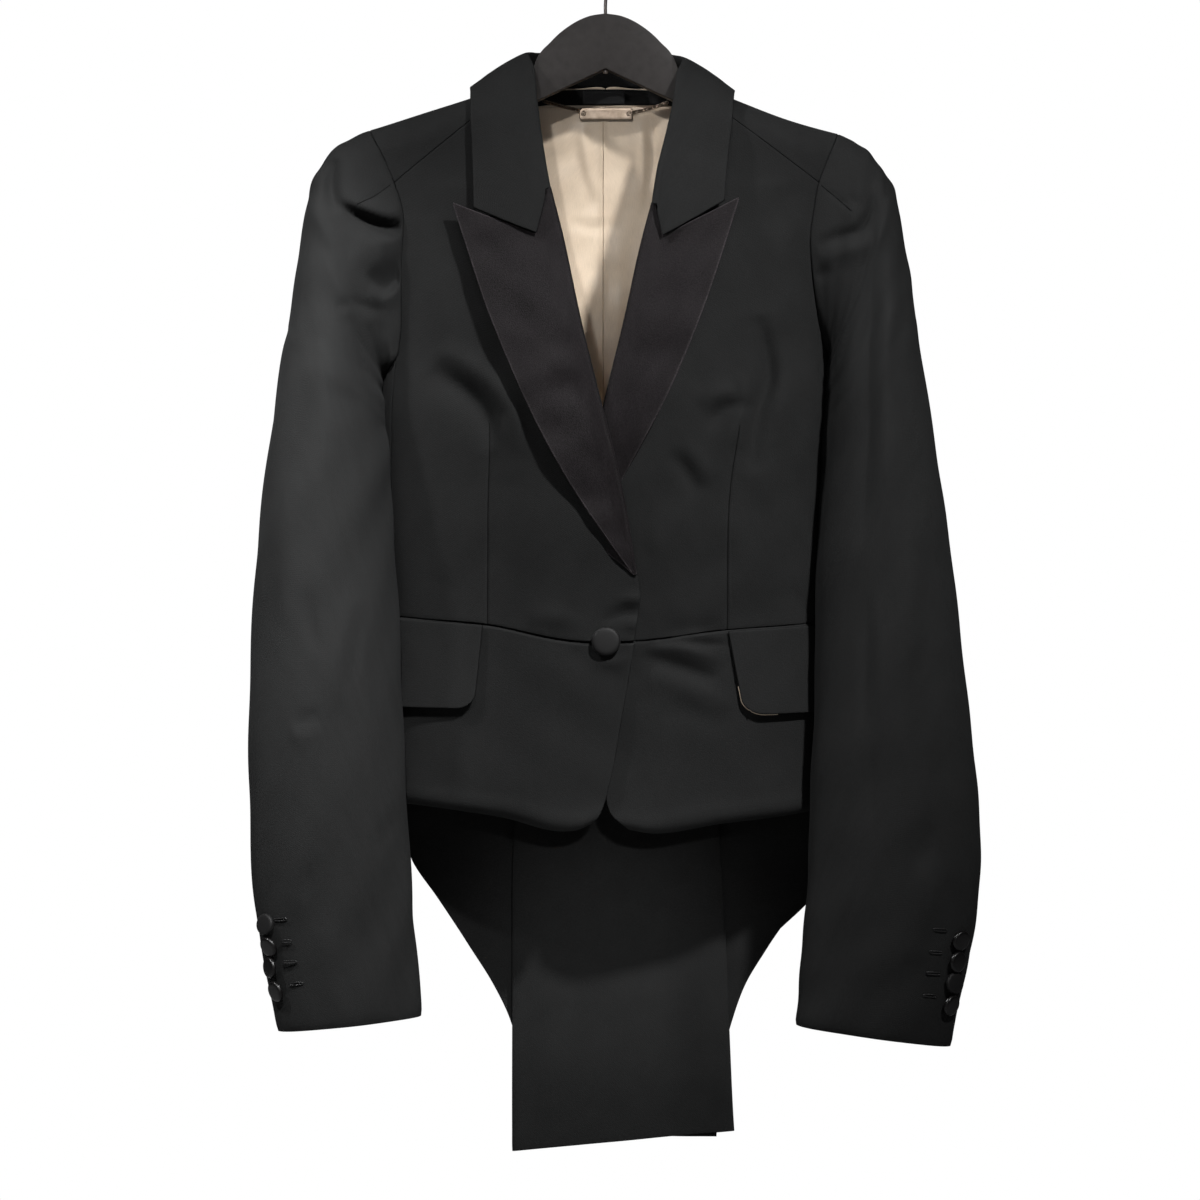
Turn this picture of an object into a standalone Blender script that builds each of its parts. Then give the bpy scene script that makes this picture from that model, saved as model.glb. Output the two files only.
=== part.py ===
"""A tailored tailcoat jacket on a flat hanger.

Metres, +Z up, the front faces -Y. The origin is where a rail touches the hook's inside.
Tables are in millimetres. LEFT is the picture's left, at -X.
"""

import math
from collections import namedtuple

import bmesh
import bpy
import numpy as np

MM = 0.001
LEFT, RIGHT = -1, 1
SIDES = {LEFT: "left", RIGHT: "right"}

# Cloth walls, and the gap between pieces at a seam
WOOL_THICKNESS = 1.8
SATIN_THICKNESS = 1.5
LINING_THICKNESS = 1.0
COLLAR_THICKNESS = 2.2
SEAM_GAP = 0.3
ARMHOLE_GAP = 0.5
RIM_DRAWN_IN = 0.45

# The body's cross-section is a superellipse with this exponent
SQUARENESS = 2.5
SHOULDER_ROUNDING = 24.0

BodySection = namedtuple("BodySection", "height half_width front back")
BODY = (
    BodySection(-900, 150.5, 61, 40),
    BodySection(-760, 150.5, 61, 43),
    BodySection(-640, 150.5, 61, 46),
    BodySection(-560, 149.0, 58, 41),
    BodySection(-500, 148.5, 56, 36),
    BodySection(-420, 149.5, 61, 40),
    BodySection(-350, 153.5, 63, 46),
    BodySection(-300, 159.0, 58, 50),
    BodySection(-220, 175.0, 46, 48),
    BodySection(-160, 188.0, 35, 42),
    BodySection(-120, 191.0, 28, 37),
    BodySection(-84, 192.0, 24, 34),
)

ShoulderPoint = namedtuple("ShoulderPoint", "out left right")
SHOULDER = (
    ShoulderPoint(0, -84, -84),
    ShoulderPoint(40, -97, -97),
    ShoulderPoint(66, -112, -112.5),
    ShoulderPoint(96, -122.5, -125),
    ShoulderPoint(128, -132.7, -137.3),
    ShoulderPoint(168, -145.3, -148.5),
    ShoulderPoint(192, -152, -154),
)

# Waist seam: angle round the body from the front centre, and its height on each side
WaistPoint = namedtuple("WaistPoint", "angle left right")
WAIST = (
    WaistPoint(0, -511.5, -511.5),
    WaistPoint(8, -510.5, -510.5),
    WaistPoint(34, -499, -503),
    WaistPoint(55, -495.5, -499.5),
    WaistPoint(78, -493.3, -497),
    WaistPoint(110, -492, -495.5),
    WaistPoint(150, -496, -498),
    WaistPoint(180, -500, -500),
)

# Armhole seam, seen from the front and from behind: distance out at a height
ArmholePoint = namedtuple("ArmholePoint", "height front_left front_right back_left back_right")
ARMHOLE = (
    ArmholePoint(-324, 156.0, 156.0, 156.0, 156.0),
    ArmholePoint(-320, 152.5, 156.5, 153.5, 156.5),
    ArmholePoint(-312, 146.5, 157.0, 148.5, 157.0),
    ArmholePoint(-299, 144.8, 154.0, 146.0, 152.5),
    ArmholePoint(-278, 144.7, 150.0, 144.5, 148.5),
    ArmholePoint(-250, 144.8, 146.2, 143.5, 145.5),
    ArmholePoint(-222, 143.5, 145.2, 144.0, 145.5),
    ArmholePoint(-208, 143.5, 147.2, 146.5, 148.5),
    ArmholePoint(-187, 149.6, 151.0, 153.0, 154.0),
    ArmholePoint(-165, 159.0, 159.5, 162.0, 161.5),
    ArmholePoint(-153, 165.3, 164.6, 166.5, 165.3),
    ArmholePoint(-144, 169.2, 168.0, 169.2, 168.0),
)
ARMHOLE_TOP = {LEFT: -145.5, RIGHT: -148.3}
ARMHOLE_BOTTOM = {LEFT: -322.0, RIGHT: -312.0}
# Angles round the armhole from its top, over the front: forward shoulder seam, side panel
FORWARD_SEAM = 57.0
SIDE_FRONT = 152.0
SIDE_BACK = 208.0

# Side panel seams: angle round the body at the waist
SIDE_SEAM_WAIST = 78.0
BACK_SEAM_WAIST = 110.0

# Inner edge of a front: neck seam, roll line, then front edge, with the row's place
# on the armhole and side seam as a share from the shoulder to the waist
FrontRow = namedtuple("FrontRow", "share left_x left_z right_x right_z")
FRONT_EDGE = (
    FrontRow(0.00, -70.0, -122.5, 70.0, -126.8),
    FrontRow(0.12, -55.5, -152.0, 54.5, -157.0),
    FrontRow(0.22, -41.5, -187.5, 35.0, -197.0),
    FrontRow(0.30, -30.8, -222.5, 25.0, -230.0),
    FrontRow(0.44, -16.2, -290.0, 11.8, -290.0),
    FrontRow(0.56, -2.8, -344.5, -1.7, -346.0),
    FrontRow(0.70, 12.6, -408.0, -15.0, -405.0),
    FrontRow(0.82, 20.5, -452.0, -20.5, -455.0),
    FrontRow(0.88, 24.0, -472.0, -21.5, -476.0),
    FrontRow(1.00, 20.5, -511.7, -21.0, -511.0),
)
ARMHOLE_SHARE = 0.5

# How far the left front stands off where it laps over the right one: full inside
# LAP_FLAT_FROM, less below the button, and fading out up the roll line
LAP_OUT = 5.4
LAP_OUT_BELOW = 3.8
LAP_FLAT_FROM = -38.0
LAP_ENDS = -80.0
LAP_BELOW_FROM = -525.0
LAP_BELOW_FADE = 55.0
LAP_ROLL_FROM = -230.0
LAP_ROLL_FADE = 70.0

# Lapels in the front view: distance out (towards the centre is smaller) and height
EdgePoint = namedtuple("EdgePoint", "place x z")
LAPEL_ROLL = {
    LEFT: (
        EdgePoint(0.0, -38.6, -190.0),
        EdgePoint(0.15, -30.2, -223.0),
        EdgePoint(0.40, -16.0, -290.0),
        EdgePoint(0.60, -2.6, -344.5),
        EdgePoint(0.80, 12.8, -408.0),
        EdgePoint(1.0, 22.0, -464.0),
    ),
    RIGHT: (
        EdgePoint(0.0, 32.2, -201.5),
        EdgePoint(0.15, 24.3, -232.0),
        EdgePoint(0.40, 11.6, -290.0),
        EdgePoint(0.60, -2.0, -346.0),
        EdgePoint(0.80, -14.5, -405.0),
        EdgePoint(1.0, -20.5, -462.0),
    ),
}
LAPEL_OUTER = {
    LEFT: (
        EdgePoint(0.0, -108.0, -202.3),
        EdgePoint(0.15, -99.5, -228.0),
        EdgePoint(0.40, -78.5, -289.5),
        EdgePoint(0.60, -51.0, -352.9),
        EdgePoint(0.80, -19.0, -410.0),
        EdgePoint(0.92, 6.4, -447.0),
        EdgePoint(1.0, 19.6, -464.8),
    ),
    RIGHT: (
        EdgePoint(0.0, 94.4, -198.2),
        EdgePoint(0.15, 83.5, -233.0),
        EdgePoint(0.40, 63.5, -290.5),
        EdgePoint(0.60, 41.0, -342.5),
        EdgePoint(0.80, 11.0, -399.0),
        EdgePoint(0.92, -8.0, -438.0),
        EdgePoint(1.0, -18.3, -462.8),
    ),
}
NOTCH = {LEFT: (-49.2, -224.0), RIGHT: (40.0, -226.0)}
NOTCH_PLACE = 0.25
LAPEL_OUT = 2.3
LAPEL_STAND_CURVE = 1.5
# How far a lapel's outer edge stands off the chest, down its length
StandRow = namedtuple("StandRow", "place out")
LAPEL_STAND = (
    StandRow(0.0, 9.0),
    StandRow(0.35, 11.5),
    StandRow(0.6, 9.5),
    StandRow(0.8, 5.0),
    StandRow(0.92, 1.5),
    StandRow(1.0, 0.0),
)
LAPEL_COVER_FADE = 26.0

# Collar: seam on the neck edge, fold line, and outer edge, from the left end round to the right
CollarStation = namedtuple("CollarStation", "neck fold edge")
COLLAR = (
    CollarStation((-40.6, -41.0, -186.5), (-39.2, -47.5, -188.0), (-93.0, -49.9, -205.3)),
    CollarStation((-46.4, -38.0, -172.0), (-42.2, -44.0, -171.0), (-93.6, -46.0, -186.0)),
    CollarStation((-54.5, -33.5, -152.0), (-45.4, -40.0, -150.0), (-94.6, -41.2, -162.0)),
    CollarStation((-62.0, -29.0, -136.0), (-48.0, -33.5, -128.0), (-95.8, -36.2, -140.0)),
    CollarStation((-68.6, -21.5, -121.0), (-50.8, -20.5, -103.0), (-96.6, -19.0, -120.0)),
    CollarStation((-63.0, -1.0, -108.7), (-55.0, -3.0, -91.0), (-96.8, -1.0, -115.5)),
    CollarStation((-55.0, 20.5, -109.0), (-48.0, 18.0, -87.5), (-90.0, 22.5, -121.5)),
    CollarStation((-38.0, 33.5, -109.6), (-33.0, 31.5, -85.0), (-64.0, 38.5, -128.0)),
    CollarStation((0.0, 36.5, -109.6), (0.0, 36.5, -83.5), (0.0, 45.5, -131.0)),
    CollarStation((38.0, 33.5, -109.6), (33.0, 31.5, -85.0), (62.0, 40.6, -128.6)),
    CollarStation((55.0, 20.5, -109.2), (48.0, 18.0, -89.0), (86.5, 22.5, -123.5)),
    CollarStation((63.0, -1.0, -109.6), (55.0, -3.0, -95.0), (92.7, -1.0, -118.4)),
    CollarStation((68.6, -21.5, -125.0), (51.0, -20.5, -106.0), (92.0, -19.5, -122.0)),
    CollarStation((62.0, -29.0, -139.0), (47.2, -33.5, -131.0), (89.6, -37.0, -144.0)),
    CollarStation((54.0, -33.5, -157.0), (41.8, -40.5, -155.0), (87.0, -42.6, -166.0)),
    CollarStation((42.0, -39.2, -180.0), (36.2, -45.5, -178.0), (85.0, -47.4, -184.0)),
    CollarStation((34.2, -42.6, -197.0), (32.8, -49.0, -199.5), (83.7, -50.7, -200.3)),
)
COLLAR_FOLD_RADIUS = 3.6
COLLAR_BULGE = 1.6
COLLAR_END = {LEFT: (-48.9, -222.2), RIGHT: (40.2, -224.0)}

# Front skirts: front edge from the waist seam to the hem, then the hem to the side seam
SKIRT_EDGE = {
    LEFT: (
        EdgePoint(0.0, 20.5, -512.2),
        EdgePoint(0.45, 10.6, -570.0),
        EdgePoint(0.80, 2.3, -614.8),
        EdgePoint(0.86, -1.2, -621.5),
        EdgePoint(1.0, -12.0, -641.0),
    ),
    RIGHT: (
        EdgePoint(0.0, -21.0, -511.5),
        EdgePoint(0.45, -10.6, -568.0),
        EdgePoint(0.78, -1.2, -612.0),
        EdgePoint(0.88, 2.5, -630.0),
        EdgePoint(1.0, 16.0, -643.2),
    ),
}
HemPoint = namedtuple("HemPoint", "place angle height")
SKIRT_HEM = {
    LEFT: (
        HemPoint(0.0, 4.6, -641.0),
        HemPoint(0.08, 10.0, -643.6),
        HemPoint(0.30, 29.0, -635.0),
        HemPoint(0.60, 63.0, -627.0),
        HemPoint(1.0, 110.0, -632.0),
    ),
    RIGHT: (
        HemPoint(0.0, 6.1, -643.2),
        HemPoint(0.08, 12.0, -646.0),
        HemPoint(0.30, 33.5, -639.2),
        HemPoint(0.60, 68.0, -631.0),
        HemPoint(1.0, 110.0, -635.0),
    ),
}

# Pocket flaps, in the front view
Flap = namedtuple("Flap", "top_in top_out bottom_in bottom_out corner")
FLAPS = {
    LEFT: Flap((-85.3, -499.4), (-140.2, -494.9), (-90.5, -558.6), (-139.6, -558.0), 11.0),
    RIGHT: Flap((84.6, -503.9), (143.2, -498.9), (92.6, -563.0), (142.0, -561.0), 11.0),
}
FLAP_OUT = 2.6
FLAP_LIFT = 1.0

# Tails: how far each reaches from the centre fold at a height
TailRow = namedtuple("TailRow", "height left right")
TAIL_EDGE = (
    TailRow(-892, -60.0, 80.0),
    TailRow(-850, -61.0, 82.0),
    TailRow(-820, -62.5, 84.5),
    TailRow(-787, -69.5, 92.5),
    TailRow(-760, -82.5, 102.5),
    TailRow(-734, -98.6, 118.0),
    TailRow(-697, -120.5, 140.5),
    TailRow(-668, -137.5, 146.5),
    TailRow(-640, -140.6, 141.0),
    TailRow(-600, -140.2, 140.2),
    TailRow(-560, -139.4, 139.4),
    TailRow(-490, -138.9, 138.9),
)
TAIL_FOLD_LEAN = 9.0
TAIL_FOLD_FROM = -560.0
TAIL_FOLD_FADE = 200.0
TAIL_TOP = -500.0
TAIL_HEM = -872.0

# The tails hang in a soft wave: its height, length and start across, and where it sets in
TAIL_WAVE = 2.5
TAIL_WAVE_TURN = 5.5
TAIL_WAVE_START = 0.6
TAIL_WAVE_FADE = 250.0

# Pleat underlay: its front layer and its returns, in from the tails' outer face
PLEAT_TOP = -520.0
PLEAT_IN = 11.4
PLEAT_MIDDLE_IN = 12.4
PLEAT_RETURN_IN = 2.6
PLEAT_FOLD_ROUND = 4.0
PleatRow = namedtuple("PleatRow", "height left right")
PLEAT_EDGE = (
    PleatRow(-890, -66.5, 94.0),
    PleatRow(-880, -67.2, 93.8),
    PleatRow(-866, -67.3, 92.8),
    PleatRow(-793, -67.3, 89.4),
    PleatRow(-717, -67.3, 86.3),
    PleatRow(-685, -67.3, 84.8),
    PleatRow(-600, -62.0, 76.0),
    PleatRow(-520, -48.0, 56.0),
)
PLEAT_HEM_LEFT = -881.5
PLEAT_HEM_RIGHT = -866.5

# Sleeves: outline from the front, middle and half depth of each section
SleeveRow = namedtuple("SleeveRow", "out_x out_z in_x in_z middle_y half_depth")
SLEEVES = {
    LEFT: (
        SleeveRow(168.8, -145.5, 155.8, -322.0, 0, 33),
        SleeveRow(180.5, -150.0, 156.9, -322.9, 0, 39),
        SleeveRow(191.0, -156.8, 157.7, -324.3, -1, 44),
        SleeveRow(204.3, -171.2, 158.1, -326.8, -2, 49),
        SleeveRow(211.1, -185.6, 158.1, -330.2, -3, 52),
        SleeveRow(215.0, -206.5, 157.7, -335.0, -4, 54),
        SleeveRow(220.5, -240.8, 156.8, -342.0, -6, 58),
        SleeveRow(225.7, -279.0, 155.4, -352.5, -9, 60),
        SleeveRow(231.6, -312.5, 153.8, -367.0, -14, 60),
        SleeveRow(240.0, -376.8, 150.9, -398.0, -22, 58),
        SleeveRow(246.6, -436.7, 147.3, -441.0, -29, 54),
        SleeveRow(250.3, -503.0, 143.0, -498.0, -37, 48),
        SleeveRow(251.5, -570.0, 140.2, -560.0, -43, 42),
        SleeveRow(250.8, -628.0, 138.2, -620.0, -47, 37),
        SleeveRow(247.5, -690.0, 135.1, -681.0, -50, 32),
        SleeveRow(239.5, -734.0, 133.3, -726.0, -52, 29),
        SleeveRow(230.9, -784.5, 127.4, -773.3, -54, 26),
    ),
    RIGHT: (
        SleeveRow(166.7, -148.3, 156.9, -312.0, 0, 33),
        SleeveRow(176.0, -152.2, 158.2, -312.9, 0, 38),
        SleeveRow(186.7, -159.2, 159.1, -314.4, -1, 43),
        SleeveRow(196.3, -170.3, 159.7, -317.0, -2, 48),
        SleeveRow(203.8, -182.5, 160.0, -320.6, -3, 51),
        SleeveRow(209.0, -200.0, 160.0, -325.6, -4, 53),
        SleeveRow(215.3, -236.5, 159.5, -333.0, -6, 57),
        SleeveRow(219.8, -268.0, 158.7, -343.5, -9, 60),
        SleeveRow(225.0, -303.0, 157.5, -358.0, -14, 60),
        SleeveRow(235.6, -376.8, 155.2, -392.0, -22, 58),
        SleeveRow(243.6, -436.0, 151.6, -438.0, -29, 54),
        SleeveRow(250.6, -503.0, 148.2, -498.0, -37, 48),
        SleeveRow(257.0, -570.0, 146.0, -560.0, -43, 42),
        SleeveRow(262.0, -622.0, 143.6, -620.0, -47, 37),
        SleeveRow(265.2, -668.0, 141.4, -672.0, -50, 33),
        SleeveRow(259.6, -711.0, 139.0, -716.0, -52, 30),
        SleeveRow(251.0, -754.0, 136.2, -750.0, -53, 28),
        SleeveRow(242.5, -795.0, 133.0, -780.0, -54, 26),
    ),
}
# The armhole's own outline fades into the sleeve's oval over this many rows
ARMHOLE_FADE = 4.0
FRONT_SEAM_COLUMN = 3
BACK_SEAM_COLUMN = 4
BACK_SEAM_CUFF = 366.0

# Folds in the cloth, in the front view: a raised or sunk stretch from start over middle to end
Fold = namedtuple("Fold", "start middle end width depth")
SLEEVE_FOLDS = {
    LEFT: (
        Fold((-192, -197), (-170, -203), (-146, -205), 9.0, 5.0),
        Fold((-180, -214), (-164, -220), (-147, -217), 8.0, -7.0),
        Fold((-180, -268), (-165, -264), (-149, -252), 8.0, -4.0),
        Fold((-185, -292), (-168, -286), (-156, -285), 9.0, 3.5),
        Fold((-172, -300), (-168, -322), (-163, -345), 14.0, -3.0),
        Fold((-222, -400), (-226, -450), (-226, -500), 14.0, 4.0),
        Fold((-170, -488), (-174, -520), (-178, -552), 10.0, -3.0),
        Fold((-218, -572), (-206, -569), (-194, -566), 8.0, -3.0),
    ),
    RIGHT: (
        Fold((150, -226), (178, -222), (192, -202), 9.0, 4.0),
        Fold((194, -188), (192, -260), (186, -318), 9.0, -5.0),
        Fold((186, -330), (184, -390), (182, -430), 10.0, -4.0),
        Fold((216, -420), (212, -510), (206, -600), 14.0, 4.0),
        Fold((184, -480), (183, -530), (182, -578), 10.0, -3.0),
    ),
}
FRONT_FOLDS = {
    LEFT: (
        Fold((-108, -318), (-88, -334), (-76, -356), 12.0, -4.0),
        Fold((-80, -358), (-70, -338), (-62, -320), 16.0, 4.0),
    ),
    RIGHT: (
        Fold((76, -352), (89, -341), (101, -343), 12.0, -4.0),
        Fold((108, -334), (100, -362), (95, -390), 10.0, -4.0),
        Fold((46, -380), (57, -394), (64, -408), 12.0, -4.0),
    ),
}
SKIRT_FOLDS = {
    LEFT: (),
    RIGHT: (
        Fold((34, -514), (60, -518), (88, -522), 7.0, 3.0),
        Fold((30, -523), (56, -532), (84, -541), 8.0, 3.0),
    ),
}

# Buttons
MAIN_BUTTON_RADIUS = 10.2
MAIN_BUTTON_HEIGHT = 5.0
MAIN_BUTTON_OUT = 0.8
MAIN_BUTTON_PLACE = (0.3, -511.2)
CUFF_BUTTON_RADIUS = 7.3
CUFF_BUTTON_HEIGHT = 4.2
CUFF_BUTTON_OUT = 0.3
CuffButton = namedtuple("CuffButton", "x z")
CUFF_BUTTONS = {
    LEFT: (
        CuffButton(-236.0, -708.3),
        CuffButton(-233.4, -723.4),
        CuffButton(-232.6, -738.5),
        CuffButton(-228.5, -754.6),
    ),
    RIGHT: (
        CuffButton(246.2, -718.9),
        CuffButton(244.0, -733.9),
        CuffButton(242.0, -748.9),
        CuffButton(239.5, -764.2),
    ),
}

# A covered button's outline: share of its radius and of its height
BUTTON_OUTLINE = ((0.86, 0.0), (0.98, 0.18), (1.0, 0.42), (0.93, 0.66), (0.72, 0.86), (0.4, 0.97))
BUTTON_TURNS = 16

# Inside of the neck
FACING_TOP = -110.4
FACING_BOTTOM = -122.4
FACING_HALF_WIDTH = 52.0
LINING_TOP = -123.8
LINING_BOTTOM = -476.0
LINING_HALF_WIDTH = 118.0
LINING_NECK_SHARE = 0.48
LINING_NECK_DEEP = 60.0
LINING_SEAM = -1.6
LINING_IN = 2.5
LABEL_HALF_WIDTH = 15.2
LABEL_MIDDLE = -1.0
LABEL_BOTTOM = -121.8
LABEL_TOP = -112.6
LABEL_THICKNESS = 0.5
LABEL_OFF = 0.4
PLATE_SIZE = (38.6, 1.6, 8.6)
PLATE_MIDDLE = (0.5, 32.6, -128.9)
PLATE_CORNER = 1.6
CHAIN_RADIUS = 0.9
CHAIN_ENDS = {
    LEFT: ((-44.5, 31.2, -120.4), (-32.0, 32.0, -123.4), (-19.4, 32.4, -126.6)),
    RIGHT: ((44.5, 31.2, -121.4), (33.0, 32.0, -125.0), (20.4, 32.4, -127.8)),
}

# Hanger
HANGER_HALF_THICKNESS = 4.5
HANGER_RIDGE = 2.0
HANGER_RIDGE_REACH = 60.0
HANGER_CHAMFER = 1.4
HANGER_TIP_SHARE = 0.72
HANGER_TIP_FROM = 120.0
HANGER_DROP = 2.7
HANGER_ARM_END = 150.0
HANGER_NECK = 63.0
HANGER_NECK_FADE = 14.0
HangerPoint = namedtuple("HangerPoint", "out top bottom")
HANGER = (
    HangerPoint(0, -62.4, -102.0),
    HangerPoint(12, -64.4, -107.5),
    HangerPoint(24, -70.0, -113.0),
    HangerPoint(39, -82.4, -120.0),
    HangerPoint(50, -96.6, -125.2),
    HangerPoint(55, -111.0, -127.5),
    HangerPoint(60, -114.5, -130.0),
    HangerPoint(72, -119.5, -135.5),
    HangerPoint(96, -128.6, -146.0),
    HangerPoint(128, -140.9, -158.5),
    HangerPoint(150, -148.0, -164.0),
)
HOOK_RADIUS = 18.5
HOOK_WIRE_RADIUS = 1.2
HOOK_TIP_ANGLE = 205.0
HOOK_ROOT = -63.6

# Sampling of the walls
ROWS_SHOULDER = 4
ROWS_ARMHOLE = 8
ROWS_BACK_ARMHOLE = 9
ROWS_SIDE = 7
COLUMNS_PANEL = 9
COLUMNS_SIDE = 5
SLEEVE_ROW_STEP = 0.75
SLEEVE_HEAD_ROWS = 9

Finish = namedtuple("Finish", "colour roughness metallic")
FINISHES = {
    "wool": Finish((0.0168, 0.0174, 0.0175), 0.85, 0.0),
    "lapel_satin": Finish((0.026, 0.0232, 0.0244), 0.45, 0.0),
    "lining": Finish((0.60, 0.48, 0.36), 0.42, 0.0),
    "label": Finish((0.012, 0.012, 0.013), 0.6, 0.0),
    "button_cloth": Finish((0.03, 0.029, 0.03), 0.6, 0.0),
    "button_satin": Finish((0.016, 0.015, 0.016), 0.5, 0.0),
    "plate_metal": Finish((0.62, 0.52, 0.42), 0.34, 1.0),
    "hanger": Finish((0.030, 0.027, 0.026), 0.48, 0.0),
    "hook_metal": Finish((0.62, 0.62, 0.60), 0.25, 1.0),
}


def smooth(knots, values, at):
    """A smooth curve through the knots, held level beyond them."""
    knots = np.asarray(knots, float)
    values = np.asarray(values, float)
    slopes = np.gradient(values, knots)
    at = np.clip(np.asarray(at, float), knots[0], knots[-1])
    low = np.clip(np.searchsorted(knots, at) - 1, 0, len(knots) - 2)
    step = knots[low + 1] - knots[low]
    t = (at - knots[low]) / step
    rise = t * t * (3 - 2 * t)
    start = values[low] * (1 - rise) + values[low + 1] * rise
    bend = slopes[low] * t * (1 - t) ** 2 - slopes[low + 1] * t * t * (1 - t)
    return start + bend * step


def column(table, key, name, at):
    """One named column of a table, read smoothly at a value of its key column."""
    knots = [getattr(row, key) for row in table]
    return smooth(knots, [getattr(row, name) for row in table], at)


def ease(value):
    """0 to 1, level at both ends."""
    value = np.clip(value, 0, 1)
    return value * value * (3 - 2 * value)


def mix(start, end, share):
    return start + (end - start) * share


def unit(vectors):
    length = np.linalg.norm(vectors, axis=-1, keepdims=True)
    return vectors / np.maximum(length, 1e-9)


def half_width(height):
    return column(BODY, "height", "half_width", height)


def shoulder_line(x):
    """Height of the shoulder's ridge."""
    left = column(SHOULDER, "out", "left", np.abs(x))
    right = column(SHOULDER, "out", "right", np.abs(x))
    return np.where(np.asarray(x) < 0, left, right)


def along_from_height(x, height):
    """Distance over the shoulder's ridge, down one side, to a height."""
    drop = np.maximum(shoulder_line(x) - height, 0)
    bend = np.arccos(np.clip(1 - drop / SHOULDER_ROUNDING, -1, 1))
    quarter = SHOULDER_ROUNDING * math.pi / 2
    return np.where(drop < SHOULDER_ROUNDING, bend * SHOULDER_ROUNDING, quarter + drop - SHOULDER_ROUNDING)


def body_point(x, along, out=0.0):
    """A point on the body. along is negative down the front and positive down the back."""
    x = np.asarray(x, float)
    angle = np.minimum(np.abs(along) / SHOULDER_ROUNDING, math.pi / 2)
    past = np.abs(along) - SHOULDER_ROUNDING * math.pi / 2
    drop = SHOULDER_ROUNDING * (1 - np.cos(angle)) + np.maximum(past, 0)
    height = shoulder_line(x) - drop
    front = column(BODY, "height", "front", height)
    back = column(BODY, "height", "back", height)
    depth = np.where(np.asarray(along) < 0, -front, back)
    width = np.clip(np.abs(x) / half_width(height), 0, 1)
    shape = (1 - width**SQUARENESS) ** (1 / SQUARENESS)
    y = depth * np.sin(angle) * shape + out * np.sign(depth)
    return np.stack(np.broadcast_arrays(x, y, height), axis=-1)


def front_point(x, height, out=0.0):
    return body_point(x, -along_from_height(x, height), out)


def back_point(x, height, out=0.0):
    return body_point(x, along_from_height(x, height), out)


def ring_point(side, angle, height, out=0.0):
    """A point round the body below the arms. The angle runs from the front centre to the back."""
    radians = np.radians(angle)
    wide = half_width(height)
    x = side * wide * np.sin(radians)
    front = column(BODY, "height", "front", height)
    back = column(BODY, "height", "back", height)
    depth = np.where(np.cos(radians) > 0, -front, back)
    shape = (1 - np.abs(np.sin(radians)) ** SQUARENESS) ** (1 / SQUARENESS)
    y = depth * shape
    along_x = np.sin(radians) * out * side
    along_y = -np.cos(radians) * out
    return np.stack(np.broadcast_arrays(x + along_x, y + along_y, height), axis=-1)


def angle_of(side, x, height):
    """Angle round the body of a point of its front."""
    share = np.clip(np.asarray(x, float) * side / half_width(height), -1, 1)
    return np.degrees(np.arcsin(share))


def waist_height(side, angle):
    return column(WAIST, "angle", SIDES[side], np.abs(angle))


def armhole_point(side, angle):
    """A point of the armhole seam. 0 is its top, 90 the front, 180 the armpit, 270 the back."""
    angle = np.asarray(angle, float)
    top, bottom = ARMHOLE_TOP[side], ARMHOLE_BOTTOM[side]
    height = (top + bottom) / 2 + (top - bottom) / 2 * np.cos(np.radians(angle))
    in_front = np.sin(np.radians(angle)) > 0
    name = SIDES[side]
    front = column(ARMHOLE, "height", "front_" + name, height)
    back = column(ARMHOLE, "height", "back_" + name, height)
    x = side * np.where(in_front, front, back)
    widest = side * half_width(height)
    x = np.where(np.abs(x) > np.abs(widest), widest, x)
    along = along_from_height(x, height)
    return body_point(x, np.where(in_front, -along, along))


def armhole_angles():
    """The shared places round the armhole seam, starting at its top."""
    shoulder = np.linspace(0, FORWARD_SEAM, ROWS_SHOULDER + 1)
    front = np.linspace(FORWARD_SEAM, SIDE_FRONT, ROWS_ARMHOLE + 1)
    under = np.linspace(SIDE_FRONT, SIDE_BACK, COLUMNS_SIDE + 1)
    back = np.linspace(SIDE_BACK, 360, ROWS_BACK_ARMHOLE + 1)
    return shoulder, front, under, back


def fold_height(x, z, folds):
    """How far the folds raise the cloth at places of the front view."""
    total = np.zeros(np.broadcast(x, z).shape)
    for fold in folds:
        start, middle, end = (np.array(point, float) for point in (fold.start, fold.middle, fold.end))
        control = 2 * middle - (start + end) / 2
        nearest = np.full(total.shape, np.inf)
        share = np.zeros(total.shape)
        for step in np.linspace(0, 1, 17):
            point = start * (1 - step) ** 2 + control * 2 * step * (1 - step) + end * step**2
            distance = (x - point[0]) ** 2 + (z - point[1]) ** 2
            share = np.where(distance < nearest, step, share)
            nearest = np.minimum(nearest, distance)
        fade = 0.35 + 0.65 * np.sin(math.pi * share)
        total += fold.depth * fade * np.exp(-nearest / fold.width**2)
    return total


def coons(top, bottom, start, end):
    """A patch between four boundary curves: top and bottom run across, start and end run down."""
    rows, columns = len(start), len(top)
    down = np.linspace(0, 1, rows)[:, None, None]
    across = np.linspace(0, 1, columns)[None, :, None]
    between = top[None] * (1 - down) + bottom[None] * down
    beside = start[:, None] * (1 - across) + end[:, None] * across
    corners = (
        top[0] * (1 - down) * (1 - across)
        + top[-1] * (1 - down) * across
        + bottom[0] * down * (1 - across)
        + bottom[-1] * down * across
    )
    return between + beside - corners


def path(points, count):
    """Evenly spread places along a table of edge points."""
    at = np.linspace(0, 1, count)
    return np.stack([column(points, "place", name, at) for name in ("x", "z")], axis=-1)


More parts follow.
